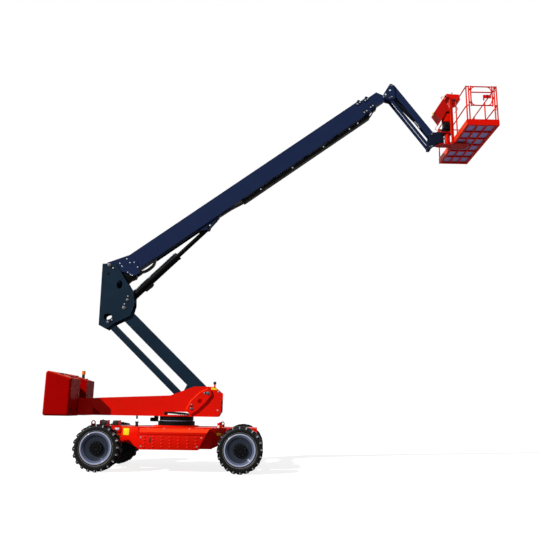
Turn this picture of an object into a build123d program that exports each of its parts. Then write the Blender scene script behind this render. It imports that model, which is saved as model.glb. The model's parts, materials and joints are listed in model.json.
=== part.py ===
"""Articulating telescopic boom lift: chassis, turntable, riser, telescopic boom, jib and platform.

Frame while modelling: millimetres, X = 0 on the turntable's slew axis and +X towards the platform,
Y = 0 on the machine's middle plane, Z = 0 on the floor. Points (x, z) lie in that side view. At the
end the whole machine is moved along X, so that its box is centred on the origin.
"""

from build123d import *
from math import atan2, cos, degrees, hypot, radians, sin
import os

# Clearances
OVERRUN = 30.0
PIN_FIT = 0.3
SEAT = 0.3
SIDE_GAP = 5.0
MOVING_GAP = 8.0

# Wheels
WHEELBASE = 3100.0
TRACK = 2100.0
TYRE_RADIUS = 500.0
TYRE_WIDTH = 380.0
BEAD_RADIUS = 325.0
SHOULDER_WIDTH = 340.0
LUG_HEIGHT = 30.0
LUG_WIDTH = 58.0
LUG_LENGTH = 178.0
LUG_SLANT = 22.0
LUG_COUNT = 20
RIM_WIDTH = 340.0
RIM_FLANGE = 22.0
RIM_FLANGE_WIDTH = 16.0
RIM_WALL = 9.0
DISH_THICKNESS = 14.0
DISH_OFFSET = 50.0
HUB_RADIUS = 135.0
SPINDLE_RADIUS = 45.0
SPINDLE_REACH = 120.0

# Steering
KINGPIN_INSET = 268.0
KINGPIN_RADIUS = 30.0
KNUCKLE_RADIUS = 58.0
KNUCKLE_HEIGHT = 200.0
FORK_PLATE = 32.0
FORK_WEB_HALF = 40.0
STEER_ARM_REACH = 190.0
STEER_ARM_WIDTH = 60.0
STEER_ARM_THICKNESS = 24.0
TIE_PIN_RADIUS = 14.0
TIE_ROD_RADIUS = 20.0
TIE_EYE_RADIUS = 34.0

# Axles
AXLE_BEAM_LENGTH = 150.0
AXLE_BEAM_HEIGHT = 150.0
AXLE_PEDESTAL_LENGTH = 260.0
DIFFERENTIAL_RADIUS = 190.0
GEAR_HOUSING_RADIUS = 150.0
GEAR_HOUSING_LENGTH = 130.0

# Chassis
CHASSIS_TOP = 945.0
CHASSIS_BOTTOM = 485.0
CHASSIS_LENGTH = 3800.0
CHASSIS_END_BOTTOM = 650.0
CHASSIS_END_WIDTH = 900.0
CHASSIS_MIDDLE_WIDTH = 1500.0
CHASSIS_MIDDLE_REAR = -760.0
CHASSIS_MIDDLE_FRONT = 900.0
CHASSIS_SLOPE_REAR = -1250.0
CHASSIS_SLOPE_FRONT = 1270.0
CHASSIS_WALL = 14.0
COVER_REAR = -640.0
COVER_FRONT = 870.0
COVER_TOP = 925.0
COVER_OUTER = 1190.0
COVER_BEVEL = 70.0
COVER_FRONT_FOOT = 640.0
RING_SEAT_HEIGHT = 28.0
RING_SEAT_RADIUS = 520.0
TIE_DOWN_HOLE = 28.0
TIE_DOWN_PLATE = 24.0
TIE_DOWN_RADIUS = 50.0
LUG_HOLE_Z = 1018.0
LUG_FRONT_X = 1058.0
LUG_REAR_X = -1840.0

# Slew ring
RACE_RADIUS = 430.0
RACE_BORE = 300.0
LOWER_RACE_HEIGHT = 95.0
UPPER_RACE_RADIUS = 395.0
RACE_GAP = 0.5
SLEW_MOTOR_RADIUS = 45.0
SLEW_MOTOR_REACH = 620.0
SLEW_MOTOR_Z = 1095.0

# Turntable
DECK_BOTTOM = 1180.0
DECK_PLATE = 26.0
CHEEK_INNER = 280.0
CHEEK_PLATE = 20.0
CHEEK_OUTLINE = (
    (-1984.0, 1562.0), (-2004.0, 1450.0), (-1690.0, 1180.0), (986.0, 1180.0), (1059.0, 1298.0),
    (1059.0, 1724.0), (875.0, 1868.0), (418.0, 1868.0), (-139.0, 1653.0), (-1680.0, 1582.0),
)
DOUBLER_PLATE = 12.0
DOUBLER_OUTLINE = (
    (-125.0, 72.0), (100.0, 152.0), (390.0, 152.0), (590.0, 85.0), (610.0, 0.0), (560.0, -95.0),
    (350.0, -128.0), (90.0, -128.0), (-110.0, -95.0),
)
DOUBLER_HOLE_RADIUS = 52.0
WINDOW_REAR = -260.0
WINDOW_FRONT = 317.0
WINDOW_HEIGHT = 76.0
TAIL_FRAME_REAR = -2640.0
TAIL_FRAME_TOP = 1560.0
TAIL_FRAME_INNER = 270.0

# Counterweight
WEIGHT_REAR = -2850.0
WEIGHT_FRONT = -2260.0
WEIGHT_HALF_WIDTH = 1000.0
WEIGHT_BOTTOM = 1160.0
WEIGHT_TOP_REAR = 2160.0
WEIGHT_TOP_FRONT = 1985.0
WEIGHT_BACK_WALL = 60.0
WEIGHT_ROUNDING = 55.0
BEACON_AT = (-2530.0, 880.0)
BEACON_FOOT = 2150.0
BEACON_RADIUS = 45.0
BEACON_HEIGHT = 95.0

# Riser: parallelogram of arm and link between turntable and upright
ARM_FOOT = (743.0, 1715.0)
ARM_LENGTH = 2917.0
ARM_ANGLE = 136.7
LINK_OFFSET = (-366.0, -356.0)
ARM_DEPTH = 290.0
ARM_ABOVE_PIN = 70.0
ARM_HALF_WIDTH = 130.0
ARM_WALL = 12.0
ARM_FORK_LENGTH = 590.0
ARM_FORK_HALF_GAP = 105.0
ARM_SLOT_LENGTH = 230.0
ARM_PIN_RADIUS = 42.0
ARM_BOSS_RADIUS = 72.0
LINK_DEPTH = 146.0
LINK_INNER = 92.0
LINK_WIDTH = 50.0
LINK_PIN_RADIUS = 34.0
LINK_BOSS_RADIUS = 60.0

# Riser cylinder
RISER_BASE = (983.0, 1284.0)
RISER_EYE_ALONG = 400.0
RISER_EYE_BELOW = 420.0
RISER_BARREL_RADIUS = 70.0
RISER_BARREL_LENGTH = 550.0
RISER_RETRACTION = 238.0
RISER_ROD_RADIUS = 42.0
RISER_EYE_RADIUS = 60.0
RISER_PIN_RADIUS = 28.0
RISER_EYE_WIDTH = 90.0
EAR_PLATE = 25.0
EAR_REAR = -4.5
EAR_FRONT = 6.5
NECK_SHARE = 0.8

# Upright
UPRIGHT_INNER = 157.0
UPRIGHT_PLATE = 25.0
UPRIGHT_OUTLINE = (
    (-602.0, 1092.0), (-269.0, 1103.0), (214.0, 341.0), (229.0, 90.0), (160.0, -186.0),
    (-197.0, -368.0), (-406.0, -518.0), (-585.0, -423.0),
)
UPRIGHT_BACK_DROP = 130.0
UPRIGHT_OVALS = (
    ((-151.0, 578.0), 70.0, 105.0), ((-387.0, -217.0), 105.0, 75.0), ((-427.0, 846.0), 35.0, 35.0),
)

# Telescopic boom
BOOM_PIVOT_RISE = (-433.0, 1062.0)
BOOM_ANGLE = 36.8
BOOM_PIN_RADIUS = 45.0
BOOM_BOSS_RADIUS = 85.0
BOOM_TOP_ABOVE_PIN = -60.0
BASE_DEPTH = 437.0
BASE_WIDTH = 260.0
BASE_WALL = 10.0
BASE_REAR = 349.0
BASE_FRONT = 7757.0
MID_SHRINK = 60.0
MID_FRONT = 7998.0
MID_REAR = 520.0
FLY_REAR = 720.0
FLY_FRONT = 8288.0
PAD_LENGTH = 160.0
KEEL_DEPTH = 250.0
HEAD_AT = (8393.0, -363.0)

# Cable tray under the boom's base section
TRAY_REAR = 3650.0
TRAY_FRONT = 7700.0
TRAY_DEPTH = 78.0
TRAY_HALF_WIDTH = 90.0
TRAY_WALL = 6.0
TRAY_FOOT_LENGTH = 60.0
TRAY_FOOT_HEIGHT = 24.0
TRAY_FEET = 5

# Boom cylinder
CYLINDER_BASE = (70.0, 198.0)
CYLINDER_EYE = (2378.0, 1035.0)
BOOM_BARREL_RADIUS = 92.0
BOOM_ROD_RADIUS = 56.0
BOOM_BARREL_LENGTH = 1640.0
BOOM_RETRACTION = 625.0
BOOM_EYE_RADIUS = 62.0
BOOM_EYE_WIDTH = 130.0
BOOM_CYLINDER_PIN = 32.0

# Jib
JIB_RISE = (177.0, 302.0)
JIB_LENGTH = 1699.0
JIB_ANGLE = -53.7
JIB_LINK_OFFSET = (-57.0, -355.0)
JIB_DEPTH = 170.0
JIB_INNER = 52.0
JIB_BEAM_WIDTH = 26.0
JIB_PIN_RADIUS = 28.0
JIB_BOSS_RADIUS = 52.0
JIB_LINK_DEPTH = 74.0
JIB_LINK_INNER = 84.0
JIB_LINK_WIDTH = 18.0
HEAD_INNER = 108.0
HEAD_PLATE = 16.0
FLY_NOSE_HALF = 62.0
JIB_LUG_PLATE = 15.0
JIB_BASE_OFFSET = (44.0, -338.0)
JIB_CYL_EYE_ALONG = 1320.0
JIB_CYL_EYE_BELOW = 60.0
JIB_BARREL_RADIUS = 42.0
JIB_BARREL_LENGTH = 835.0
JIB_RETRACTION = 112.0
JIB_ROD_RADIUS = 24.0
JIB_EYE_RADIUS = 36.0
JIB_EYE_WIDTH = 56.0
JIB_CYL_PIN = 17.0

# Rotator and platform
ROTATOR_OFFSET = 228.0
ROTATOR_DROP = 247.0
ROTATOR_RADIUS = 115.0
ROTATOR_HEIGHT = 310.0
TURN_PLATE = 20.0
PLATFORM_OFFSET = 331.0
PLATFORM_LENGTH = 791.0
PLATFORM_HALF_WIDTH = 1232.0
FLOOR_BELOW_ROTATOR = 5.0
FLOOR_FRAME = 60.0
FLOOR_SHEET = 6.0
TOE_HEIGHT = 150.0
TOE_PLATE = 4.0
RAIL_HEIGHT = 1045.0
RAIL_RADIUS = 15.0
POST_RADIUS = 17.0
FOOT_PLATE = 8.0
FOOT_HALF = 30.0
RIB_HEIGHT = 45.0
RIB_HALF = 14.0
RIBS_ALONG = 2
RIBS_ACROSS = 5
RAIL_MID_DROP = 500.0
GATE_WIDTH = 560.0
GATE_INSET = 119.0
GATE_SIDE_GAP = 16.0
HINGE_INSET = 75.0
HINGE_HEIGHT = 36.0
HINGE_WALL = 8.0
SUPPORT_TUBE = 60.0
BOX_HALF = 165.0
BOX_OUTLINE = ((-471.0, -170.0), (-226.0, 214.0), (-90.0, -32.0), (-306.0, -420.0))
BOX_BRACKET = (-190.0, -90.0, -60.0)
CONSOLE_HALF = 190.0
CONSOLE_OUTLINE = ((-145.0, 337.0), (194.0, 320.0), (215.0, 168.0), (150.0, 132.0), (-136.0, 262.0))

LINK_FOOT = (ARM_FOOT[0] + LINK_OFFSET[0], ARM_FOOT[1] + LINK_OFFSET[1])
ARM_HEAD = (
    ARM_FOOT[0] + ARM_LENGTH * cos(radians(ARM_ANGLE)),
    ARM_FOOT[1] + ARM_LENGTH * sin(radians(ARM_ANGLE)),
)
LINK_HEAD = (ARM_HEAD[0] + LINK_OFFSET[0], ARM_HEAD[1] + LINK_OFFSET[1])
BOOM_PIVOT = (ARM_HEAD[0] + BOOM_PIVOT_RISE[0], ARM_HEAD[1] + BOOM_PIVOT_RISE[1])
BOOM_CYL_BASE = (ARM_HEAD[0] + CYLINDER_BASE[0], ARM_HEAD[1] + CYLINDER_BASE[1])
BOOM_CYL_EYE = (BOOM_PIVOT[0] + CYLINDER_EYE[0], BOOM_PIVOT[1] + CYLINDER_EYE[1])
JIB_HEAD_PIVOT = (
    BOOM_PIVOT[0] + HEAD_AT[0] * cos(radians(BOOM_ANGLE)) - HEAD_AT[1] * sin(radians(BOOM_ANGLE)),
    BOOM_PIVOT[1] + HEAD_AT[0] * sin(radians(BOOM_ANGLE)) + HEAD_AT[1] * cos(radians(BOOM_ANGLE)),
)
JIB_PIVOT = (JIB_HEAD_PIVOT[0] + JIB_RISE[0], JIB_HEAD_PIVOT[1] + JIB_RISE[1])
JIB_CYL_BASE = (JIB_PIVOT[0] + JIB_BASE_OFFSET[0], JIB_PIVOT[1] + JIB_BASE_OFFSET[1])
JIB_TIP = (
    JIB_PIVOT[0] + JIB_LENGTH * cos(radians(JIB_ANGLE)),
    JIB_PIVOT[1] + JIB_LENGTH * sin(radians(JIB_ANGLE)),
)
JIB_LINK_FOOT = (JIB_PIVOT[0] + JIB_LINK_OFFSET[0], JIB_PIVOT[1] + JIB_LINK_OFFSET[1])
JIB_LINK_TIP = (JIB_TIP[0] + JIB_LINK_OFFSET[0], JIB_TIP[1] + JIB_LINK_OFFSET[1])
ROTATOR_X = JIB_TIP[0] + ROTATOR_OFFSET
ROTATOR_BOTTOM = JIB_TIP[1] - ROTATOR_DROP
ROTATOR_TOP = ROTATOR_BOTTOM + ROTATOR_HEIGHT
PLATFORM_REAR = ROTATOR_X + PLATFORM_OFFSET
PLATFORM_FRONT = PLATFORM_REAR + PLATFORM_LENGTH
FLOOR_BOTTOM = ROTATOR_BOTTOM - FLOOR_BELOW_ROTATOR
RAIL_TOP = FLOOR_BOTTOM + RAIL_HEIGHT
GATE_HINGE_X = PLATFORM_REAR + GATE_INSET
GATE_AXIS = (GATE_HINGE_X + GATE_SIDE_GAP, POST_RADIUS + TOE_PLATE - PLATFORM_HALF_WIDTH)
SUPPORT_X = PLATFORM_REAR - SEAT - SUPPORT_TUBE / 2


def block(x, y, z):
    """A box between the low and high values of each pair."""
    size = [high - low for low, high in (x, y, z)]
    middle = [(high + low) / 2 for low, high in (x, y, z)]
    return Pos(*middle) * Box(*size)


def both_sides(shape):
    """A shape and its mirror image across the middle plane."""
    return shape + mirror(shape, about=Plane.XZ)


def plate(points, y):
    """A plate with an outline of (x, z) points, between the two values of y."""
    low, high = y
    outline = Plane.XZ.offset(-high) * Polygon(*points, align=None)
    return extrude(outline, amount=high - low, dir=(0, -1, 0))


def bar_y(at, radius, y):
    """A round bar along Y through the point (x, z)."""
    low, high = y
    return Pos(at[0], (low + high) / 2, at[1]) * Rot(90, 0, 0) * Cylinder(radius, high - low)


def bar_z(at, radius, z):
    """A round bar along Z through the point (x, y)."""
    low, high = z
    return Pos(at[0], at[1], (low + high) / 2) * Cylinder(radius, high - low)


def bar_x(at, radius, x):
    """A round bar along X through the point (y, z)."""
    low, high = x
    return Pos((low + high) / 2, at[0], at[1]) * Rot(0, 90, 0) * Cylinder(radius, high - low)


def along(origin, angle):
    """The place of a member whose own X runs at an angle above the horizontal in the side view."""
    return Pos(origin[0], 0, origin[1]) * Rot(0, -angle, 0)


def direction(start, end):
    """Angle above the horizontal, and distance, from one (x, z) point to another."""
    dx, dz = end[0] - start[0], end[1] - start[1]
    return degrees(atan2(dz, dx)), hypot(dx, dz)


def local_point(origin, angle, at):
    """The (x, z) point of a place (u, w) given along a member."""
    c, s = cos(radians(angle)), sin(radians(angle))
    return origin[0] + at[0] * c - at[1] * s, origin[1] + at[0] * s + at[1] * c


def hole_y(at, radius, half_width):
    """A cutter for a pin hole that runs through everything within the half width."""
    reach = half_width + OVERRUN
    return bar_y(at, radius + PIN_FIT, (-reach, reach))


def tyre_shape():
    """An off-road tyre about the Y axis at the origin, lugs out to its full radius."""
    tread = TYRE_RADIUS - LUG_HEIGHT
    sidewall = (BEAD_RADIUS + tread) / 2
    half, shoulder = TYRE_WIDTH / 2, SHOULDER_WIDTH / 2
    bead = RIM_WIDTH / 2 - RIM_FLANGE_WIDTH - SEAT
    bead_top = BEAD_RADIUS + RIM_FLANGE
    section = [
        (BEAD_RADIUS + SEAT, -bead), (bead_top, -bead), (sidewall, -half), (tread - LUG_HEIGHT, -half),
        (tread, -shoulder), (tread, shoulder), (tread - LUG_HEIGHT, half), (sidewall, half),
        (bead_top, bead), (BEAD_RADIUS + SEAT, bead),
    ]
    carcass = revolve(Plane.XY * Polygon(*section, align=None), axis=Axis.Y)
    lug_low = tread - LUG_HEIGHT
    lug = block((-LUG_WIDTH / 2, LUG_WIDTH / 2), (-LUG_LENGTH / 2, LUG_LENGTH / 2),
                (lug_low, TYRE_RADIUS + OVERRUN))
    step = 360 / LUG_COUNT
    lugs = []
    for side in (-1, 1):
        place = Pos(0, side * (half - LUG_LENGTH / 2), 0) * Rot(0, 0, side * LUG_SLANT) * lug
        for index in range(LUG_COUNT):
            turn = 180 + index * step + (step / 2 if side > 0 else 0)
            lugs.append(Rot(0, turn, 0) * place)
    rim_of_lugs = Rot(90, 0, 0) * Cylinder(TYRE_RADIUS, TYRE_WIDTH)
    return carcass + [lug & rim_of_lugs for lug in lugs]


def rim_shape():
    """A deep disc wheel about the Y axis, its outer face towards -Y."""
    half = RIM_WIDTH / 2
    outer, inner = BEAD_RADIUS, BEAD_RADIUS - RIM_WALL
    flange = BEAD_RADIUS + RIM_FLANGE
    dish_low = -half + DISH_OFFSET
    dish_high = dish_low + DISH_THICKNESS
    lip = half - RIM_FLANGE_WIDTH
    section = [
        (SPINDLE_RADIUS + PIN_FIT, -half + SEAT + OVERRUN), (SPINDLE_RADIUS + PIN_FIT, half - SPINDLE_REACH),
        (HUB_RADIUS, half - SPINDLE_REACH), (HUB_RADIUS, dish_high), (inner, dish_high), (inner, half),
        (flange, half), (flange, lip), (outer, lip), (outer, -lip), (flange, -lip), (flange, -half),
        (inner, -half), (inner, dish_low), (HUB_RADIUS, dish_low), (HUB_RADIUS - OVERRUN, -half + SEAT),
        (0, -half + SEAT), (0, -half + SEAT + OVERRUN),
    ]
    return revolve(Plane.XY * Polygon(*section, align=None), axis=Axis.Y)


def wheels():
    """Tyres and rims of the four wheels, and the centres that they turn about."""
    tyre, rim = tyre_shape(), rim_shape()
    made = {}
    for axle, x in (("steer", -WHEELBASE / 2), ("drive", WHEELBASE / 2)):
        for side, sign in (("right", -1), ("left", 1)):
            place = Pos(x, sign * TRACK / 2, TYRE_RADIUS)
            turn = Rot(0, 0, 180) if sign > 0 else Rot(0, 0, 0)
            made[f"tyre_{axle}_{side}"] = place * turn * tyre
            made[f"rim_{axle}_{side}"] = place * turn * rim
    return made


KINGPIN_Y = TRACK / 2 - KINGPIN_INSET


def steering():
    """Axle beam with its forks, two knuckles with spindles and arms, and the tie rod."""
    x, z = -WHEELBASE / 2, TYRE_RADIUS
    half_beam = AXLE_BEAM_LENGTH / 2
    fork_low = KNUCKLE_HEIGHT / 2 + SIDE_GAP
    fork_high = fork_low + FORK_PLATE
    beam_end = KINGPIN_Y - KNUCKLE_RADIUS - SIDE_GAP * 2
    beam_reach = beam_end - STEER_ARM_WIDTH / 2
    beam = block((x - half_beam, x + half_beam), (-beam_reach, beam_reach),
                 (z - AXLE_BEAM_HEIGHT / 2, z + AXLE_BEAM_HEIGHT / 2))
    for level in ((-fork_high, -fork_low), (fork_low, fork_high)):
        reach = (z + level[0], z + level[1])
        fork = block((x - KNUCKLE_RADIUS, x + KNUCKLE_RADIUS), (beam_end - 2 * FORK_PLATE, KINGPIN_Y), reach)
        fork += bar_z((x, KINGPIN_Y), KNUCKLE_RADIUS, reach)
        beam += both_sides(fork)
    web_top = (z - fork_high, z + fork_high)
    web = block((x - FORK_WEB_HALF, x + FORK_WEB_HALF), (beam_end - 2 * FORK_PLATE, beam_end), web_top)
    beam += both_sides(web)
    beam += block((x - AXLE_PEDESTAL_LENGTH / 2, x + AXLE_PEDESTAL_LENGTH / 2),
                  (-CHASSIS_END_WIDTH / 4, CHASSIS_END_WIDTH / 4), (z, CHASSIS_END_BOTTOM))
    for sign in (-1, 1):
        beam -= bar_z((x, sign * KINGPIN_Y), KINGPIN_RADIUS + PIN_FIT,
                      (z - fork_high - OVERRUN, z + fork_high + OVERRUN))

    knuckle = bar_z((x, -KINGPIN_Y), KNUCKLE_RADIUS, (z - KNUCKLE_HEIGHT / 2, z + KNUCKLE_HEIGHT / 2))
    knuckle += bar_z((x, -KINGPIN_Y), KINGPIN_RADIUS, (z - fork_high, z + fork_high))
    spindle_tip = -(TRACK / 2 + RIM_WIDTH / 2 - 2 * OVERRUN)
    knuckle += Pos(x, (spindle_tip - KINGPIN_Y) / 2, z) * Rot(90, 0, 0) * Cylinder(
        SPINDLE_RADIUS, -spindle_tip - KINGPIN_Y)
    arm_z = (z - STEER_ARM_THICKNESS / 2, z + STEER_ARM_THICKNESS / 2)
    arm_x = x - STEER_ARM_REACH
    arm = block((arm_x, x), (-KINGPIN_Y - STEER_ARM_WIDTH / 2, -KINGPIN_Y + STEER_ARM_WIDTH / 2), arm_z)
    arm += bar_z((arm_x, -KINGPIN_Y), STEER_ARM_WIDTH / 2, arm_z)
    knuckle += arm
    tie_low = arm_z[0] - SEAT - 2 * TIE_ROD_RADIUS
    knuckle += bar_z((arm_x, -KINGPIN_Y), TIE_PIN_RADIUS, (tie_low, arm_z[0]))
    tie_z = (tie_low, arm_z[0] - SEAT)
    rod = bar_y((arm_x, (tie_z[0] + tie_z[1]) / 2), TIE_ROD_RADIUS, (-KINGPIN_Y, KINGPIN_Y))
    rod += both_sides(bar_z((arm_x, -KINGPIN_Y), TIE_EYE_RADIUS, tie_z))
    for sign in (-1, 1):
        rod -= bar_z((arm_x, sign * KINGPIN_Y), TIE_PIN_RADIUS + PIN_FIT, (tie_low - OVERRUN, z))
    return {
        "steer_axle": beam,
        "knuckle_right": knuckle,
        "knuckle_left": mirror(knuckle, about=Plane.XZ),
        "tie_rod": rod,
    }


def drive_axle():
    """Drive axle: beam tube, differential, pedestal, gear housings and the stub spindles."""
    x, z = WHEELBASE / 2, TYRE_RADIUS
    inner_face = TRACK / 2 - TYRE_WIDTH / 2 - MOVING_GAP * 2
    axle = bar_y((x, z), AXLE_BEAM_HEIGHT / 2, (-inner_face, inner_face))
    axle += bar_y((x, z), DIFFERENTIAL_RADIUS * 0.75, (-DIFFERENTIAL_RADIUS, DIFFERENTIAL_RADIUS))
    axle += both_sides(bar_y((x, z), GEAR_HOUSING_RADIUS, (inner_face - GEAR_HOUSING_LENGTH, inner_face)))
    tip = TRACK / 2 + RIM_WIDTH / 2 - 2 * OVERRUN
    axle += bar_y((x, z), SPINDLE_RADIUS, (-tip, tip))
    for sign in (-1, 1):
        middle = sign * CHASSIS_END_WIDTH / 3
        axle += block((x - AXLE_PEDESTAL_LENGTH / 2, x + AXLE_PEDESTAL_LENGTH / 2),
                      (middle - FORK_PLATE, middle + FORK_PLATE), (z, CHASSIS_END_BOTTOM))
    return {"drive_axle": axle}


def chassis():
    """Welded frame with its side covers, ring seat and tie-down lugs."""
    half = CHASSIS_LENGTH / 2
    side_view = [
        (-half, CHASSIS_END_BOTTOM), (CHASSIS_SLOPE_REAR, CHASSIS_END_BOTTOM),
        (CHASSIS_MIDDLE_REAR, CHASSIS_BOTTOM), (CHASSIS_MIDDLE_FRONT, CHASSIS_BOTTOM),
        (CHASSIS_SLOPE_FRONT, CHASSIS_END_BOTTOM), (half, CHASSIS_END_BOTTOM),
        (half, CHASSIS_TOP), (-half, CHASSIS_TOP),
    ]
    frame = plate(side_view, (-CHASSIS_END_WIDTH / 2, CHASSIS_END_WIDTH / 2))
    middle = block((CHASSIS_MIDDLE_REAR, CHASSIS_MIDDLE_FRONT),
                   (-CHASSIS_MIDDLE_WIDTH / 2, CHASSIS_MIDDLE_WIDTH / 2), (CHASSIS_BOTTOM, CHASSIS_TOP))
    frame += middle
    frame += bar_z((0, 0), RING_SEAT_RADIUS, (CHASSIS_TOP, CHASSIS_TOP + RING_SEAT_HEIGHT))
    for end in (-1, 1):
        pocket_x = sorted((end * (half - CHASSIS_WALL), end * (WHEELBASE / 2 + AXLE_PEDESTAL_LENGTH)))
        frame -= block(tuple(pocket_x), (-CHASSIS_END_WIDTH / 2 + CHASSIS_WALL,
                                         CHASSIS_END_WIDTH / 2 - CHASSIS_WALL),
                       (CHASSIS_END_BOTTOM - OVERRUN, CHASSIS_TOP - CHASSIS_WALL))
    for lug_x in (LUG_FRONT_X, LUG_REAR_X):
        lug_y = (-CHASSIS_END_WIDTH / 2, TIE_DOWN_PLATE - CHASSIS_END_WIDTH / 2)
        lug = bar_y((lug_x, LUG_HOLE_Z), TIE_DOWN_RADIUS, lug_y)
        lug += block((lug_x - TIE_DOWN_RADIUS, lug_x + TIE_DOWN_RADIUS), lug_y,
                     (CHASSIS_TOP - CHASSIS_WALL, LUG_HOLE_Z))
        lug -= bar_y((lug_x, LUG_HOLE_Z), TIE_DOWN_HOLE, (lug_y[0] - OVERRUN, lug_y[1] + OVERRUN))
        frame += both_sides(lug)
    cover_x = [
        (COVER_REAR, CHASSIS_BOTTOM), (COVER_FRONT_FOOT, CHASSIS_BOTTOM), (COVER_FRONT, COVER_TOP),
        (COVER_REAR, COVER_TOP),
    ]
    inner = CHASSIS_MIDDLE_WIDTH / 2 + SEAT
    cover = plate(cover_x, (-COVER_OUTER, -inner))
    bevel = Plane.YZ.offset(COVER_REAR - OVERRUN) * Polygon(
        (-COVER_OUTER - OVERRUN, COVER_TOP + OVERRUN), (-COVER_OUTER - OVERRUN, COVER_TOP - COVER_BEVEL),
        (-COVER_OUTER, COVER_TOP - COVER_BEVEL), (-COVER_OUTER + COVER_BEVEL, COVER_TOP),
        (-COVER_OUTER + COVER_BEVEL, COVER_TOP + OVERRUN), align=None)
    cover -= extrude(bevel, amount=COVER_FRONT - COVER_REAR + 2 * OVERRUN, dir=(1, 0, 0))
    return {
        "chassis_frame": frame,
        "side_cover_right": cover,
        "side_cover_left": mirror(cover, about=Plane.XZ),
    }


RING_BOTTOM = CHASSIS_TOP + RING_SEAT_HEIGHT
RING_SPLIT = RING_BOTTOM + LOWER_RACE_HEIGHT


def slew_parts():
    """Lower race on the chassis, upper race under the turntable, and the slew motor."""
    lower = bar_z((0, 0), RACE_RADIUS, (RING_BOTTOM, RING_SPLIT)) - bar_z(
        (0, 0), RACE_BORE, (RING_BOTTOM - OVERRUN, RING_SPLIT + OVERRUN))
    upper = bar_z((0, 0), UPPER_RACE_RADIUS, (RING_SPLIT + RACE_GAP, DECK_BOTTOM)) - bar_z(
        (0, 0), RACE_BORE, (RING_SPLIT - OVERRUN, DECK_BOTTOM + OVERRUN))
    gearbox_x = (-RACE_RADIUS - 2 * SLEW_MOTOR_RADIUS - MOVING_GAP, -RACE_RADIUS - MOVING_GAP)
    motor = block(gearbox_x, (-SLEW_MOTOR_RADIUS, SLEW_MOTOR_RADIUS),
                  (SLEW_MOTOR_Z - SLEW_MOTOR_RADIUS, DECK_BOTTOM))
    motor += bar_x((0, SLEW_MOTOR_Z), SLEW_MOTOR_RADIUS, (-SLEW_MOTOR_REACH, gearbox_x[0]))
    return {"slew_ring_lower": lower, "slew_ring_upper": upper, "slew_motor": motor}


def turntable():
    """Two cheek plates on a deck, tied by cross plates, with the pins of the riser."""
    cheek = plate(CHEEK_OUTLINE, (-CHEEK_INNER - CHEEK_PLATE, -CHEEK_INNER))
    cheek -= block((WINDOW_REAR, WINDOW_FRONT), (-CHEEK_INNER - CHEEK_PLATE - OVERRUN,
                                                 -CHEEK_INNER + OVERRUN),
                   (DECK_BOTTOM + DECK_PLATE, DECK_BOTTOM + DECK_PLATE + WINDOW_HEIGHT))
    frame = both_sides(cheek)
    deck_front = CHEEK_OUTLINE[3][0]
    deck_level = (DECK_BOTTOM, DECK_BOTTOM + DECK_PLATE)
    frame += block((TAIL_FRAME_REAR, deck_front), (-CHEEK_INNER, CHEEK_INNER), deck_level)
    frame += bar_z((0, 0), RACE_RADIUS, deck_level)
    tail = block((TAIL_FRAME_REAR, CHEEK_OUTLINE[1][0] + 4 * CHEEK_PLATE),
                 (-CHEEK_INNER, -TAIL_FRAME_INNER), (DECK_BOTTOM, TAIL_FRAME_TOP))
    frame += both_sides(tail)
    frame += bar_y(ARM_FOOT, ARM_PIN_RADIUS, (-CHEEK_INNER - 2 * CHEEK_PLATE, CHEEK_INNER + 2 * CHEEK_PLATE))
    frame += both_sides(bar_y(LINK_FOOT, LINK_PIN_RADIUS, (-CHEEK_INNER - 2 * CHEEK_PLATE, -LINK_INNER)))
    angle, length = direction(LINK_FOOT, ARM_FOOT)
    outline = [local_point(LINK_FOOT, angle, corner) for corner in DOUBLER_OUTLINE]
    doubler = plate(outline, (-CHEEK_INNER - CHEEK_PLATE - DOUBLER_PLATE, -CHEEK_INNER - CHEEK_PLATE))
    middle = local_point(LINK_FOOT, angle, (length / 2, 0))
    frame += both_sides(doubler)
    frame -= hole_y(middle, DOUBLER_HOLE_RADIUS, CHEEK_INNER + CHEEK_PLATE)
    ear_inner = RISER_EYE_WIDTH / 2 + SEAT
    ear_points = [
        (RISER_BASE[0] - 2 * RISER_EYE_RADIUS, DECK_BOTTOM), (deck_front, DECK_BOTTOM),
        (RISER_BASE[0] + RISER_EYE_RADIUS, RISER_BASE[1]), (RISER_BASE[0] - RISER_EYE_RADIUS, RISER_BASE[1]),
    ]
    ear = plate(ear_points, (-ear_inner - EAR_PLATE, -ear_inner))
    ear += bar_y(RISER_BASE, RISER_EYE_RADIUS, (-ear_inner - EAR_PLATE, -ear_inner))
    frame += both_sides(ear)
    frame += bar_y(RISER_BASE, RISER_PIN_RADIUS, (-ear_inner - EAR_PLATE, ear_inner + EAR_PLATE))
    return {"turntable_frame": frame}


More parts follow.
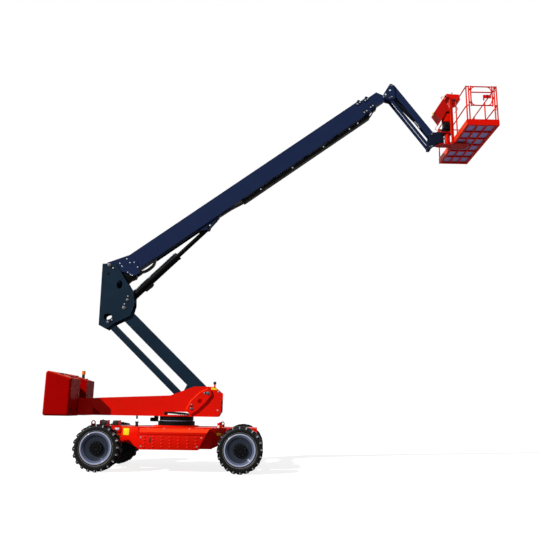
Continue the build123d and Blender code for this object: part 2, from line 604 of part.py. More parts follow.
def counterweight():
    """Cast counterweight in a U around the stowed riser, its top sloping down to the front."""
    side_view = [
        (WEIGHT_REAR, WEIGHT_BOTTOM), (WEIGHT_FRONT, WEIGHT_BOTTOM), (WEIGHT_FRONT, WEIGHT_TOP_FRONT),
        (WEIGHT_REAR, WEIGHT_TOP_REAR),
    ]
    weight = plate(side_view, (-WEIGHT_HALF_WIDTH, WEIGHT_HALF_WIDTH))
    sides = weight.faces().filter_by(Axis.Y).group_by(Axis.Y)
    rear = weight.edges().filter_by(Axis.Y).group_by(Axis.X)[0]
    weight = fillet(sides[0].edges() + sides[-1].edges() + rear, radius=WEIGHT_ROUNDING)
    slot_rear = WEIGHT_REAR + WEIGHT_BACK_WALL
    weight -= block((slot_rear, WEIGHT_FRONT + OVERRUN), (-CHEEK_INNER - SEAT, CHEEK_INNER + SEAT),
                    (WEIGHT_BOTTOM - OVERRUN, WEIGHT_TOP_REAR + OVERRUN))
    lamp = bar_z(BEACON_AT, BEACON_RADIUS - 2 * SIDE_GAP, (WEIGHT_TOP_FRONT, BEACON_FOOT))
    lamp -= plate(side_view, (-WEIGHT_HALF_WIDTH, WEIGHT_HALF_WIDTH))
    lens = bar_z(BEACON_AT, BEACON_RADIUS, (BEACON_FOOT + SEAT, BEACON_FOOT + BEACON_HEIGHT))
    return {"counterweight": weight, "beacon_base": lamp, "beacon_lens": lens}


def riser():
    """Box arm and twin-bar link of the riser, each with pin bosses at both ends."""
    lower_half = CHEEK_INNER - SIDE_GAP
    upper_half = UPRIGHT_INNER - SIDE_GAP
    place = along(ARM_FOOT, ARM_ANGLE)
    low, high = -ARM_ABOVE_PIN, ARM_DEPTH - ARM_ABOVE_PIN
    arm = block((0, ARM_LENGTH), (-ARM_HALF_WIDTH, ARM_HALF_WIDTH), (low, high))
    core = block((3 * ARM_BOSS_RADIUS, ARM_LENGTH - ARM_FORK_LENGTH - ARM_BOSS_RADIUS),
                 (-ARM_HALF_WIDTH + ARM_WALL, ARM_HALF_WIDTH - ARM_WALL), (low + ARM_WALL, high - ARM_WALL))
    arm -= core
    arm += bar_y((0, 0), ARM_BOSS_RADIUS, (-lower_half, lower_half))
    arm += bar_y((ARM_LENGTH, 0), ARM_BOSS_RADIUS, (-upper_half, upper_half))
    reach = ARM_DEPTH + OVERRUN
    arm -= block((ARM_LENGTH - ARM_FORK_LENGTH, ARM_LENGTH + reach), (-ARM_FORK_HALF_GAP, ARM_FORK_HALF_GAP),
                 (-reach, reach))
    arm -= block((-reach, ARM_SLOT_LENGTH), (-RISER_BARREL_RADIUS - 2 * SIDE_GAP,
                                             RISER_BARREL_RADIUS + 2 * SIDE_GAP),
                 (ARM_BOSS_RADIUS + SIDE_GAP, reach))
    for end in (0, ARM_LENGTH):
        arm -= hole_y((end, 0), ARM_PIN_RADIUS, lower_half)
    ear_inner = RISER_EYE_WIDTH / 2 + SIDE_GAP
    eye = (RISER_EYE_ALONG, RISER_EYE_BELOW)
    ear = plate([
        (eye[0] - 2 * RISER_EYE_RADIUS, high), (eye[0] + 2 * RISER_EYE_RADIUS, high),
        (eye[0] + RISER_EYE_RADIUS, eye[1]), (eye[0] - RISER_EYE_RADIUS, eye[1]),
    ], (-ear_inner - EAR_PLATE, -ear_inner))
    ear += bar_y(eye, RISER_EYE_RADIUS, (-ear_inner - EAR_PLATE, -ear_inner))
    ear += bar_y(eye, RISER_PIN_RADIUS, (-ear_inner - EAR_PLATE - SIDE_GAP, -ear_inner))
    arm += both_sides(ear)

    half = LINK_DEPTH / 2
    bar = block((0, ARM_LENGTH), (-LINK_INNER - LINK_WIDTH, -LINK_INNER), (-half, half))
    link = both_sides(bar)
    link += both_sides(bar_y((0, 0), LINK_BOSS_RADIUS, (-lower_half, -LINK_INNER)))
    link += bar_y((ARM_LENGTH, 0), LINK_BOSS_RADIUS, (-upper_half, upper_half))
    for end in (0, ARM_LENGTH):
        link -= hole_y((end, 0), LINK_PIN_RADIUS, lower_half)
    return {"riser_arm": place * arm, "riser_link": along(LINK_FOOT, ARM_ANGLE) * link}


def cylinder(base, eye, radii, barrel_length, retraction, eye_radius, width, pin):
    """Barrel with its base eye and rod with its rod eye, between two (x, z) pins.

    The rod can still go in by the retraction before it meets the barrel's floor.
    """
    barrel_radius, rod_radius = radii
    angle, length = direction(base, eye)
    place = along(base, angle)
    half = width / 2
    barrel_start = 2 * eye_radius
    floor = barrel_start + rod_radius / 2
    barrel = bar_x((0, 0), barrel_radius, (barrel_start, barrel_length))
    barrel += bar_y((0, 0), eye_radius, (-half, half))
    neck, neck_height = half * NECK_SHARE, eye_radius * NECK_SHARE
    barrel += block((0, floor), (-neck, neck), (-neck_height, neck_height))
    barrel -= bar_x((0, 0), rod_radius + PIN_FIT, (floor, barrel_length + OVERRUN))
    barrel -= hole_y((0, 0), pin, half)
    rod = bar_x((0, 0), rod_radius, (floor + retraction + SIDE_GAP, length))
    rod += bar_y((length, 0), eye_radius, (-half, half))
    rod -= hole_y((length, 0), pin, half)
    return place * barrel, place * rod


def riser_cylinder():
    """The lift cylinder of the riser, between the deck ears and the ears under the arm."""
    eye = local_point(ARM_FOOT, ARM_ANGLE, (RISER_EYE_ALONG, RISER_EYE_BELOW))
    barrel, rod = cylinder(
        RISER_BASE, eye, (RISER_BARREL_RADIUS, RISER_ROD_RADIUS), RISER_BARREL_LENGTH, RISER_RETRACTION,
        RISER_EYE_RADIUS, RISER_EYE_WIDTH, RISER_PIN_RADIUS)
    return {"riser_cylinder_barrel": barrel, "riser_cylinder_rod": rod}


def upright():
    """Two plates joined by cross tubes, with the pins of arm, link and boom."""
    points = [(ARM_HEAD[0] + x, ARM_HEAD[1] + z) for x, z in UPRIGHT_OUTLINE]
    outer = UPRIGHT_INNER + UPRIGHT_PLATE
    side = plate(points, (-outer, -UPRIGHT_INNER))
    for (x, z), half_length, half_height in UPRIGHT_OVALS:
        oval = Plane.XZ.offset(UPRIGHT_INNER - OVERRUN) * Ellipse(half_length, half_height)
        cutter = extrude(oval, amount=UPRIGHT_PLATE + 2 * OVERRUN, dir=(0, -1, 0))
        side -= Pos(ARM_HEAD[0] + x, 0, ARM_HEAD[1] + z) * cutter
    frame = both_sides(side)
    pin_end = outer + UPRIGHT_PLATE / 2
    for at, radius in ((ARM_HEAD, ARM_PIN_RADIUS), (LINK_HEAD, LINK_PIN_RADIUS),
                       (BOOM_PIVOT, BOOM_PIN_RADIUS)):
        frame += bar_y(at, radius, (-pin_end, pin_end))
    lug_inner = BOOM_BARREL_RADIUS + SIDE_GAP
    lug = bar_y(BOOM_CYL_BASE, BOOM_EYE_RADIUS, (-lug_inner - UPRIGHT_PLATE, -lug_inner))
    lug += bar_y(BOOM_CYL_BASE, BOOM_EYE_RADIUS * NECK_SHARE, (-UPRIGHT_INNER - UPRIGHT_PLATE, -lug_inner))
    lug += bar_y(BOOM_CYL_BASE, BOOM_CYLINDER_PIN, (-pin_end, -lug_inner))
    frame += both_sides(lug)
    top, bottom = points[0], points[-1]
    back_top = (top[0], top[1] - UPRIGHT_BACK_DROP)
    back = plate([
        back_top, bottom, (bottom[0] + UPRIGHT_PLATE, bottom[1]), (back_top[0] + UPRIGHT_PLATE, back_top[1]),
    ], (-UPRIGHT_INNER, UPRIGHT_INNER))
    frame += back
    return {"upright": frame}


def boom():
    """Base, middle and fly sections of the telescopic boom."""
    place = along(BOOM_PIVOT, BOOM_ANGLE)
    top = BOOM_TOP_ABOVE_PIN
    sections = {}
    table = (
        ("boom_base", 0, BASE_REAR, BASE_FRONT),
        ("boom_mid", 1, MID_REAR, MID_FRONT),
        ("boom_fly", 2, FLY_REAR, FLY_FRONT),
    )
    for name, step, rear, front in table:
        shrink = step * MID_SHRINK / 2
        half = BASE_WIDTH / 2 - shrink
        low, high = top - BASE_DEPTH + shrink, top - shrink
        shape = block((rear, front), (-half, half), (low, high))
        shape -= block((rear - OVERRUN, front + OVERRUN), (-half + BASE_WALL, half - BASE_WALL),
                       (low + BASE_WALL, high - BASE_WALL))
        if name != "boom_fly":
            pad = MID_SHRINK / 2 - BASE_WALL - SEAT
            ring = block((front - PAD_LENGTH, front), (-half + BASE_WALL, half - BASE_WALL),
                         (low + BASE_WALL, high - BASE_WALL))
            ring -= block((front - PAD_LENGTH - OVERRUN, front + OVERRUN),
                          (-half + BASE_WALL + pad, half - BASE_WALL - pad),
                          (low + BASE_WALL + pad, high - BASE_WALL - pad))
            shape += ring
        if name != "boom_base":
            pad = MID_SHRINK / 2 - BASE_WALL - SEAT
            collar = block((rear, rear + PAD_LENGTH), (-half - pad, half + pad), (low - pad, high + pad))
            collar -= block((rear - OVERRUN, rear + PAD_LENGTH + OVERRUN), (-half, half), (low, high))
            shape += collar
        sections[name] = shape
    half = BASE_WIDTH / 2
    low, high = top - BASE_DEPTH, top
    lobe = [
        (-BOOM_BOSS_RADIUS / 2, -BOOM_BOSS_RADIUS), (BASE_REAR - 2 * BOOM_BOSS_RADIUS,
                                                     -KEEL_DEPTH - BOOM_BOSS_RADIUS),
        (BASE_REAR, low - KEEL_DEPTH / 3), (BASE_REAR + 2 * BOOM_BOSS_RADIUS, low - KEEL_DEPTH / 3),
        (BASE_REAR + 3 * BOOM_BOSS_RADIUS, high - BASE_DEPTH / 2), (BASE_REAR + 2 * BOOM_BOSS_RADIUS, high),
        (0, BOOM_BOSS_RADIUS),
    ]
    cheek = plate(lobe, (-half - CHEEK_PLATE, -half))
    base = sections["boom_base"] + both_sides(cheek)
    reach = UPRIGHT_INNER - SIDE_GAP
    base += bar_y((0, 0), BOOM_BOSS_RADIUS, (-reach, reach))
    base -= hole_y((0, 0), BOOM_PIN_RADIUS, reach)
    eye_angle, eye_distance = direction(BOOM_PIVOT, BOOM_CYL_EYE)
    turn = radians(eye_angle - BOOM_ANGLE)
    eye = (eye_distance * cos(turn), eye_distance * sin(turn))
    ear_inner = BOOM_EYE_WIDTH / 2 + SEAT
    ear = plate([(eye[0] + u * BOOM_EYE_RADIUS, low) for u in (EAR_REAR, EAR_FRONT)] + [
        (eye[0] + EAR_FRONT * BOOM_EYE_RADIUS, low - BOOM_EYE_RADIUS / 2),
        (eye[0] + BOOM_EYE_RADIUS, eye[1] - EAR_PLATE),
        (eye[0] - BOOM_EYE_RADIUS, eye[1] - EAR_PLATE), (eye[0] + EAR_REAR * BOOM_EYE_RADIUS,
                                                         low - BOOM_EYE_RADIUS / 2),
    ], (-ear_inner - EAR_PLATE, -ear_inner))
    ear += bar_y(eye, BOOM_EYE_RADIUS, (-ear_inner - EAR_PLATE, -ear_inner))
    base += both_sides(ear)
    base += bar_y(eye, BOOM_CYLINDER_PIN, (-ear_inner - EAR_PLATE, ear_inner + EAR_PLATE))
    sections["boom_base"] = base

    nose_angle, nose_distance = direction(BOOM_PIVOT, JIB_HEAD_PIVOT)
    turn = radians(nose_angle - BOOM_ANGLE)
    nose = (nose_distance * cos(turn), nose_distance * sin(turn))
    shrink = MID_SHRINK
    low, high = top - BASE_DEPTH + shrink, top - shrink
    head = plate([
        (FLY_FRONT - PAD_LENGTH, low), (FLY_FRONT, low), (nose[0], nose[1] - JIB_BOSS_RADIUS),
        (nose[0], nose[1] + JIB_BOSS_RADIUS), (FLY_FRONT, high), (FLY_FRONT - PAD_LENGTH, high),
    ], (-FLY_NOSE_HALF, FLY_NOSE_HALF))
    fly = sections["boom_fly"] + head
    fly += bar_y(nose, JIB_BOSS_RADIUS, (-HEAD_INNER + SEAT, HEAD_INNER - SEAT))
    fly -= hole_y(nose, JIB_PIN_RADIUS, HEAD_INNER)
    sections["boom_fly"] = fly
    return {name: place * shape for name, shape in sections.items()}


def cable_tray():
    """The folded tray that carries the energy chain under the boom's base, on feet."""
    top = BOOM_TOP_ABOVE_PIN - BASE_DEPTH - SEAT
    bottom = top - TRAY_FOOT_HEIGHT
    outer = (-TRAY_HALF_WIDTH, TRAY_HALF_WIDTH)
    tray = block((TRAY_REAR, TRAY_FRONT), outer, (bottom - TRAY_DEPTH, bottom))
    tray -= block((TRAY_REAR + TRAY_WALL, TRAY_FRONT + OVERRUN), (outer[0] + TRAY_WALL, outer[1] - TRAY_WALL),
                  (bottom - TRAY_DEPTH + TRAY_WALL, bottom - TRAY_WALL))
    step = (TRAY_FRONT - TRAY_REAR - TRAY_FOOT_LENGTH) / (TRAY_FEET - 1)
    for index in range(TRAY_FEET):
        start = TRAY_REAR + index * step
        tray += block((start, start + TRAY_FOOT_LENGTH), outer, (bottom, top))
    return {"cable_tray": along(BOOM_PIVOT, BOOM_ANGLE) * tray}


def boom_cylinder():
    """The lift cylinder of the boom, between the upright and the ears under the boom."""
    barrel, rod = cylinder(
        BOOM_CYL_BASE, BOOM_CYL_EYE, (BOOM_BARREL_RADIUS, BOOM_ROD_RADIUS), BOOM_BARREL_LENGTH,
        BOOM_RETRACTION,
        BOOM_EYE_RADIUS, BOOM_EYE_WIDTH, BOOM_CYLINDER_PIN)
    return {"boom_cylinder_barrel": barrel, "boom_cylinder_rod": rod}


def jib():
    """Levelling head, jib arm, jib link, tip and the jib cylinder."""
    outer = HEAD_INNER + HEAD_PLATE
    head_points = [
        (JIB_HEAD_PIVOT[0] - JIB_BOSS_RADIUS, JIB_HEAD_PIVOT[1] - JIB_BOSS_RADIUS),
        (JIB_LINK_FOOT[0], JIB_LINK_FOOT[1] - JIB_BOSS_RADIUS),
        (JIB_CYL_BASE[0] + JIB_EYE_RADIUS, JIB_CYL_BASE[1] - JIB_EYE_RADIUS),
        (JIB_CYL_BASE[0] + JIB_EYE_RADIUS, JIB_CYL_BASE[1] + JIB_EYE_RADIUS),
        (JIB_PIVOT[0] + JIB_BOSS_RADIUS, JIB_PIVOT[1]), (JIB_PIVOT[0], JIB_PIVOT[1] + JIB_BOSS_RADIUS),
        (JIB_PIVOT[0] - JIB_BOSS_RADIUS, JIB_PIVOT[1] + JIB_BOSS_RADIUS),
        (JIB_HEAD_PIVOT[0] - JIB_BOSS_RADIUS, JIB_HEAD_PIVOT[1] + JIB_BOSS_RADIUS),
    ]
    head = both_sides(plate(head_points, (-outer, -HEAD_INNER)))
    for at in (JIB_HEAD_PIVOT, JIB_PIVOT, JIB_LINK_FOOT):
        head += bar_y(at, JIB_PIN_RADIUS, (-outer, outer))
    lug_y = (-JIB_EYE_WIDTH / 2 - SEAT - JIB_LUG_PLATE, -JIB_EYE_WIDTH / 2 - SEAT)
    lug = plate([
        (JIB_LINK_FOOT[0], JIB_LINK_FOOT[1] - JIB_PIN_RADIUS),
        (JIB_CYL_BASE[0], JIB_CYL_BASE[1] - JIB_EYE_RADIUS),
        (JIB_CYL_BASE[0], JIB_CYL_BASE[1] + JIB_EYE_RADIUS),
        (JIB_LINK_FOOT[0], JIB_LINK_FOOT[1] + JIB_PIN_RADIUS),
    ], lug_y)
    lug += bar_y(JIB_CYL_BASE, JIB_EYE_RADIUS, lug_y) + bar_y(JIB_LINK_FOOT, 1.5 * JIB_PIN_RADIUS, lug_y)
    head += both_sides(lug)
    head += bar_y(JIB_CYL_BASE, JIB_CYL_PIN, (lug_y[0], -lug_y[0]))

    reach = HEAD_INNER - SEAT
    beam = block((0, JIB_LENGTH), (-JIB_INNER - JIB_BEAM_WIDTH, -JIB_INNER), (-JIB_DEPTH / 2, JIB_DEPTH / 2))
    arm = both_sides(beam)
    for end in (0, JIB_LENGTH):
        arm += bar_y((end, 0), JIB_BOSS_RADIUS, (-reach, reach))
    for end in (0, JIB_LENGTH):
        arm -= hole_y((end, 0), JIB_PIN_RADIUS, reach)
    link_bar = block((0, JIB_LENGTH), (-JIB_LINK_INNER - JIB_LINK_WIDTH, -JIB_LINK_INNER),
                     (-JIB_LINK_DEPTH / 2, JIB_LINK_DEPTH / 2))
    for end in (0, JIB_LENGTH):
        link_bar += bar_y((end, 0), JIB_BOSS_RADIUS, (-reach, SIDE_GAP - JIB_LINK_INNER))
        link_bar -= hole_y((end, 0), JIB_PIN_RADIUS, reach)
    link = both_sides(link_bar)

    eye = local_point(JIB_PIVOT, JIB_ANGLE, (JIB_CYL_EYE_ALONG, -JIB_CYL_EYE_BELOW))
    barrel, rod = cylinder(
        JIB_CYL_BASE, eye, (JIB_BARREL_RADIUS, JIB_ROD_RADIUS), JIB_BARREL_LENGTH, JIB_RETRACTION,
        JIB_EYE_RADIUS, JIB_EYE_WIDTH, JIB_CYL_PIN)
    pin_start = JIB_EYE_WIDTH / 2 + SIDE_GAP
    arm += both_sides(bar_y((JIB_CYL_EYE_ALONG, -JIB_CYL_EYE_BELOW), JIB_CYL_PIN, (-JIB_INNER, -pin_start)))

    tip_points = [
        (JIB_LINK_TIP[0] - JIB_BOSS_RADIUS, JIB_LINK_TIP[1] - JIB_BOSS_RADIUS),
        (ROTATOR_X - ROTATOR_RADIUS - 2 * MOVING_GAP, ROTATOR_BOTTOM), (ROTATOR_X, ROTATOR_BOTTOM),
        (ROTATOR_X, ROTATOR_TOP),
        (JIB_TIP[0], JIB_TIP[1] + JIB_BOSS_RADIUS), (JIB_TIP[0] - JIB_BOSS_RADIUS, JIB_TIP[1]),
    ]
    tip_plate = plate(tip_points, (-outer, -HEAD_INNER))
    web_x = (ROTATOR_X - ROTATOR_RADIUS, ROTATOR_X - ROTATOR_RADIUS * NECK_SHARE + CHEEK_PLATE)
    tip = both_sides(tip_plate)
    tip += block(web_x, (-outer, outer), (ROTATOR_BOTTOM, ROTATOR_TOP))
    tip += bar_z((ROTATOR_X, 0), ROTATOR_RADIUS, (ROTATOR_BOTTOM, ROTATOR_TOP))
    for at in (JIB_TIP, JIB_LINK_TIP):
        tip += bar_y(at, JIB_PIN_RADIUS, (-outer, outer))
    return {
        "jib_head": head,
        "jib_arm": along(JIB_PIVOT, JIB_ANGLE) * arm,
        "jib_link": along(JIB_LINK_FOOT, JIB_ANGLE) * link,
        "jib_cylinder_barrel": barrel,
        "jib_cylinder_rod": rod,
        "jib_tip": tip,
    }


def rail_tube(start, end, radius=RAIL_RADIUS):
    """A round rail between two points."""
    line = Line(start, end)
    return sweep(Plane(origin=line @ 0, z_dir=line % 0) * Circle(radius), path=line)


def platform():
    """Turning support, floor with toe boards, guard rails, gate and console."""
    yoke_low = (ROTATOR_BOTTOM - TURN_PLATE, ROTATOR_BOTTOM - SEAT)
    yoke_high = (ROTATOR_TOP + SEAT, ROTATOR_TOP + TURN_PLATE)
    post_x = (SUPPORT_X - SUPPORT_TUBE / 2, SUPPORT_X + SUPPORT_TUBE / 2)
    post_y = 3 * SUPPORT_TUBE
    tongue = (FLOOR_BOTTOM - SEAT - TURN_PLATE, FLOOR_BOTTOM - SEAT)
    support = block((post_x[0], PLATFORM_REAR + PLATFORM_LENGTH / 2), (-post_y, post_y), tongue)
    for level in (yoke_low, yoke_high):
        support += block((ROTATOR_X, post_x[1]), (-ROTATOR_RADIUS, ROTATOR_RADIUS), level)
        support += bar_z((ROTATOR_X, 0), ROTATOR_RADIUS, level)
    for sign in (-1, 1):
        y = sign * post_y
        support += block(post_x, (y - SUPPORT_TUBE / 2, y + SUPPORT_TUBE / 2),
                         (tongue[0], RAIL_TOP - RAIL_RADIUS))
    support += block(post_x, (-post_y, post_y), (tongue[0], tongue[0] + SUPPORT_TUBE))
    support += block((post_x[0], post_x[0] + TURN_PLATE), (-post_y, post_y),
                     (yoke_high[1] - SUPPORT_TUBE, RAIL_TOP - RAIL_RADIUS - SUPPORT_TUBE))

    edge = PLATFORM_HALF_WIDTH
    floor_top = FLOOR_BOTTOM + FLOOR_FRAME
    panel_low = floor_top - FLOOR_SHEET
    inside_x = (PLATFORM_REAR + FLOOR_FRAME, PLATFORM_FRONT - FLOOR_FRAME)
    inside_y = (-edge + FLOOR_FRAME, edge - FLOOR_FRAME)
    floor = block((PLATFORM_REAR, PLATFORM_FRONT), (-edge, edge), (FLOOR_BOTTOM, floor_top))
    floor -= block(inside_x, inside_y, (FLOOR_BOTTOM - OVERRUN, floor_top + OVERRUN))
    rib_z = (panel_low - SEAT - RIB_HEIGHT, panel_low - SEAT)
    for index in range(RIBS_ALONG):
        x = inside_x[0] + (inside_x[1] - inside_x[0]) * (index + 1) / (RIBS_ALONG + 1)
        floor += block((x - RIB_HALF, x + RIB_HALF), (-edge + TOE_PLATE, edge - TOE_PLATE), rib_z)
    for index in range(RIBS_ACROSS):
        y = inside_y[0] + (inside_y[1] - inside_y[0]) * (index + 1) / (RIBS_ACROSS + 1)
        floor += block((PLATFORM_REAR + TOE_PLATE, PLATFORM_FRONT - TOE_PLATE), (y - RIB_HALF, y + RIB_HALF),
                       rib_z)
    panel = block((inside_x[0] + SEAT, inside_x[1] - SEAT), (inside_y[0] + SEAT, inside_y[1] - SEAT),
                  (panel_low, floor_top))
    toe_top = floor_top + TOE_HEIGHT - FLOOR_FRAME
    toe = block((PLATFORM_REAR, PLATFORM_FRONT), (-edge, edge), (floor_top, toe_top))
    toe -= block((PLATFORM_REAR + TOE_PLATE, PLATFORM_FRONT - TOE_PLATE), (-edge + TOE_PLATE, edge - TOE_PLATE),
                 (floor_top - OVERRUN, toe_top + OVERRUN))
    floor += toe

    r = POST_RADIUS
    x0, x1 = PLATFORM_REAR + r + TOE_PLATE, PLATFORM_FRONT - r - TOE_PLATE
    y0, y1 = -edge + r + TOE_PLATE, edge - r - TOE_PLATE
    gate_x = (GATE_HINGE_X, GATE_HINGE_X + GATE_WIDTH)
    top = RAIL_TOP - r
    pieces = []
    for z in (top, top - RAIL_MID_DROP):
        pieces += [
            rail_tube((x0, y0, z), (x0, y1, z)), rail_tube((x1, y0, z), (x1, y1, z)),
            rail_tube((x0, y1, z), (x1, y1, z)), rail_tube((x0, y0, z), (gate_x[0] - 2 * r, y0, z)),
            rail_tube((gate_x[1] + 2 * r, y0, z), (x1, y0, z)),
        ]
    posts = [(x0, y0), (x1, y0), (x0, y1), (x1, y1), (gate_x[0] - 2 * r, y0), (gate_x[1] + 2 * r, y0)]
    posts += [(x, y) for x in (x0, x1) for y in (y0 / 3, y1 / 3)]
    for x, y in posts:
        floor += block((max(x - FOOT_HALF, PLATFORM_REAR), min(x + FOOT_HALF, PLATFORM_FRONT)),
                       (max(y - FOOT_HALF, -edge), min(y + FOOT_HALF, edge)),
                       (floor_top - SEAT, floor_top + FOOT_PLATE))
        pieces.append(rail_tube((x, y, floor_top + FOOT_PLATE + SEAT), (x, y, top + POST_RADIUS),
                                POST_RADIUS))
    gate_low = top - RAIL_MID_DROP
    stile_x = (GATE_AXIS[0], gate_x[1] - GATE_SIDE_GAP)
    for z in (gate_low + HINGE_INSET, top - HINGE_INSET):
        level = (z - HINGE_HEIGHT / 2, z + HINGE_HEIGHT / 2)
        hinge = block((gate_x[0] - 2 * r, stile_x[0]), (y0 - r, y0 + r), level)
        hinge += bar_z((stile_x[0], y0), r + HINGE_WALL, level)
        hinge -= bar_z((stile_x[0], y0), r + PIN_FIT, (level[0] - OVERRUN, level[1] + OVERRUN))
        pieces.append(hinge)
    rails = pieces[0]
    for piece in pieces[1:]:
        rails += piece

    gate = rail_tube((stile_x[0], y0, gate_low - r), (stile_x[0], y0, top + r), r)
    gate += rail_tube((stile_x[1], y0, gate_low - r), (stile_x[1], y0, top + r), r)
    for z in (gate_low, top - 2 * HINGE_INSET, top):
        gate += rail_tube((stile_x[0], y0, z), (stile_x[1], y0, z))
    latch_z = (top - 4 * HINGE_INSET - HINGE_HEIGHT, top - 4 * HINGE_INSET + HINGE_HEIGHT)
    gate += block((stile_x[1], gate_x[1] + r - SIDE_GAP), (y0 - HINGE_WALL, y0 + HINGE_WALL), latch_z)
    post_face = post_x[0] - SEAT
    box = plate([(PLATFORM_REAR + x, RAIL_TOP + z) for x, z in BOX_OUTLINE], (-BOX_HALF, BOX_HALF))
    bracket_x, bracket_high, bracket_low = BOX_BRACKET
    box += block((PLATFORM_REAR + bracket_x, post_face), (-BOX_HALF, BOX_HALF),
                 (RAIL_TOP + bracket_high - SUPPORT_TUBE, RAIL_TOP + bracket_low))
    corners = [(PLATFORM_REAR + x, RAIL_TOP + z) for x, z in CONSOLE_OUTLINE]
    console = plate(corners, (-CONSOLE_HALF, CONSOLE_HALF))
    (x_front, z_front), (x_rear, z_rear) = corners[3:]
    slope = (z_front - z_rear) / (x_front - x_rear)
    stand_top = [(x, z_rear + slope * (x - x_rear) - SEAT) for x in reversed(post_x)]
    stand_low = RAIL_TOP - RAIL_RADIUS - SUPPORT_TUBE
    support += plate([(post_x[0], stand_low), (post_x[1], stand_low)] + stand_top, (-post_y, post_y))
    return {
        "platform_support": support,
        "platform_floor": floor,
        "floor_panel": panel,
        "platform_rails": rails,
        "platform_gate": gate,
        "tool_box": box,
        "console": console,
    }


def build():
    """All nodes of the machine, centred on the origin."""
    nodes = {}
    for section in (
        chassis, drive_axle, steering, wheels, slew_parts, turntable, counterweight, riser, riser_cylinder,
        upright, boom, cable_tray, boom_cylinder, jib, platform,
    ):
        nodes.update(section())
    boxes = [shape.bounding_box() for shape in nodes.values()]
    middle = (min(box.min.X for box in boxes) + max(box.max.X for box in boxes)) / 2
    return {name: Pos(-middle, 0, 0) * shape for name, shape in nodes.items()}, middle


NODES, MIDDLE_X = build()
os.makedirs("parts", exist_ok=True)
for name, shape in NODES.items():
    export_step(shape, f"parts/{name}.step")
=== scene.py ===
"""Dresses the articulating telescopic boom lift for its studio picture.

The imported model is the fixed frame. Each sub-assembly below is a class that holds its sizes in metres
and adds the pieces that the solids leave out: wheel nuts, bolts, pins, tread plates, hoses and panels.
Points are given in the machine's own frame, X = 0 on the slew axis, and moved to the row frame once.
"""

from __future__ import annotations

import json
import logging
import math
from dataclasses import dataclass, field
from enum import Enum
from typing import Callable, Iterable, Sequence

import bmesh
import bpy
from mathutils import Matrix, Vector

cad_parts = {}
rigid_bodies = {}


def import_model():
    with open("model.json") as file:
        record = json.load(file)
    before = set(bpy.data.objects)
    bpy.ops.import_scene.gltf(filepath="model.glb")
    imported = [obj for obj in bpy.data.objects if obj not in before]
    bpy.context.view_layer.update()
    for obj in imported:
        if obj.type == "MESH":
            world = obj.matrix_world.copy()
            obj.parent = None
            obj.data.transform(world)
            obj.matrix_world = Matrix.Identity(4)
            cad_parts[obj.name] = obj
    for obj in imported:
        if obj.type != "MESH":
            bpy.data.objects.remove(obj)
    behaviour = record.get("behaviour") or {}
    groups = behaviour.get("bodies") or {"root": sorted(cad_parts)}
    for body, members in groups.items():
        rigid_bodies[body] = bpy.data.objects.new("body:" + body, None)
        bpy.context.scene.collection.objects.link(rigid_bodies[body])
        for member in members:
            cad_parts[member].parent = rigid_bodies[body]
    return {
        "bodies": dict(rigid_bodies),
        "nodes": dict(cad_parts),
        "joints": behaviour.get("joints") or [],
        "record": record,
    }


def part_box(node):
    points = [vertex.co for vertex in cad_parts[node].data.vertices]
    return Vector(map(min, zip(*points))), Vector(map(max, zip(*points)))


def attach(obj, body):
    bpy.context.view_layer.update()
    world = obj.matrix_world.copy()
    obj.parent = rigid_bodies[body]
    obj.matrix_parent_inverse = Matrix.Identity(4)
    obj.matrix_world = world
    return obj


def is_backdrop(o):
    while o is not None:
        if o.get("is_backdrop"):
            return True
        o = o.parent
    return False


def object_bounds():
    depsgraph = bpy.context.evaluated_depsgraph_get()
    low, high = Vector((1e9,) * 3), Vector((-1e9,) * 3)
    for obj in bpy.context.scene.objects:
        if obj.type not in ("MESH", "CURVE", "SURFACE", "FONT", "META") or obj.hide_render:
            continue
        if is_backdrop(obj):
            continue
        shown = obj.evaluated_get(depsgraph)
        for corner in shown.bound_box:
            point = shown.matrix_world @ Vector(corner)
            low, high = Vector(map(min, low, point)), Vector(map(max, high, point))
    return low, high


log = logging.getLogger("boom_lift")
Point = tuple[float, float, float]
Flat = tuple[float, float]
Outline = tuple[Flat, ...]
Span = tuple[Flat, Flat]
Tree = bpy.types.NodeTree
Socket = bpy.types.NodeSocket
Rows = tuple[tuple, ...]
UP = Vector((0, 0, 1))
# Centre of the left drive wheel. The other three mirror it.
WHEEL_CENTRE: Point = (1.55, 1.05, 0.5)


class Side(Enum):
    """The two sides of the machine, as signs along Y."""

    RIGHT = -1
    LEFT = 1

    @property
    def out(self) -> Vector:
        """The way outwards on this side."""
        return Vector((0, self.value, 0))

    @property
    def word(self) -> str:
        """The side as it stands in the names of pieces."""
        return self.name.lower()


class Slot(Enum):
    """The record's material slots that the new pieces take their finish from."""

    RED = "red_paint"
    NAVY = "navy_paint"
    BLACK = "black_paint"
    RIM = "rim_paint"
    TYRE = "tyre"
    CHROME = "chrome"
    STEEL = "steel"
    GREY = "grey_paint"
    PLASTIC = "black_plastic"
    AMBER = "amber_lens"


def linear(hex_colour: str) -> tuple[float, float, float, float]:
    """Turns an sRGB hex colour into linear light.

    Args:
        hex_colour: Six hex digits, with or without a leading hash.

    Returns:
        Linear red, green, blue and an alpha of 1.
    """
    digits = hex_colour.lstrip("#")
    parts = [int(digits[i:i + 2], 16) / 255 for i in (0, 2, 4)]
    curve = [c / 12.92 if c <= 0.04045 else ((c + 0.055) / 1.055) ** 2.4 for c in parts]
    return curve[0], curve[1], curve[2], 1.0


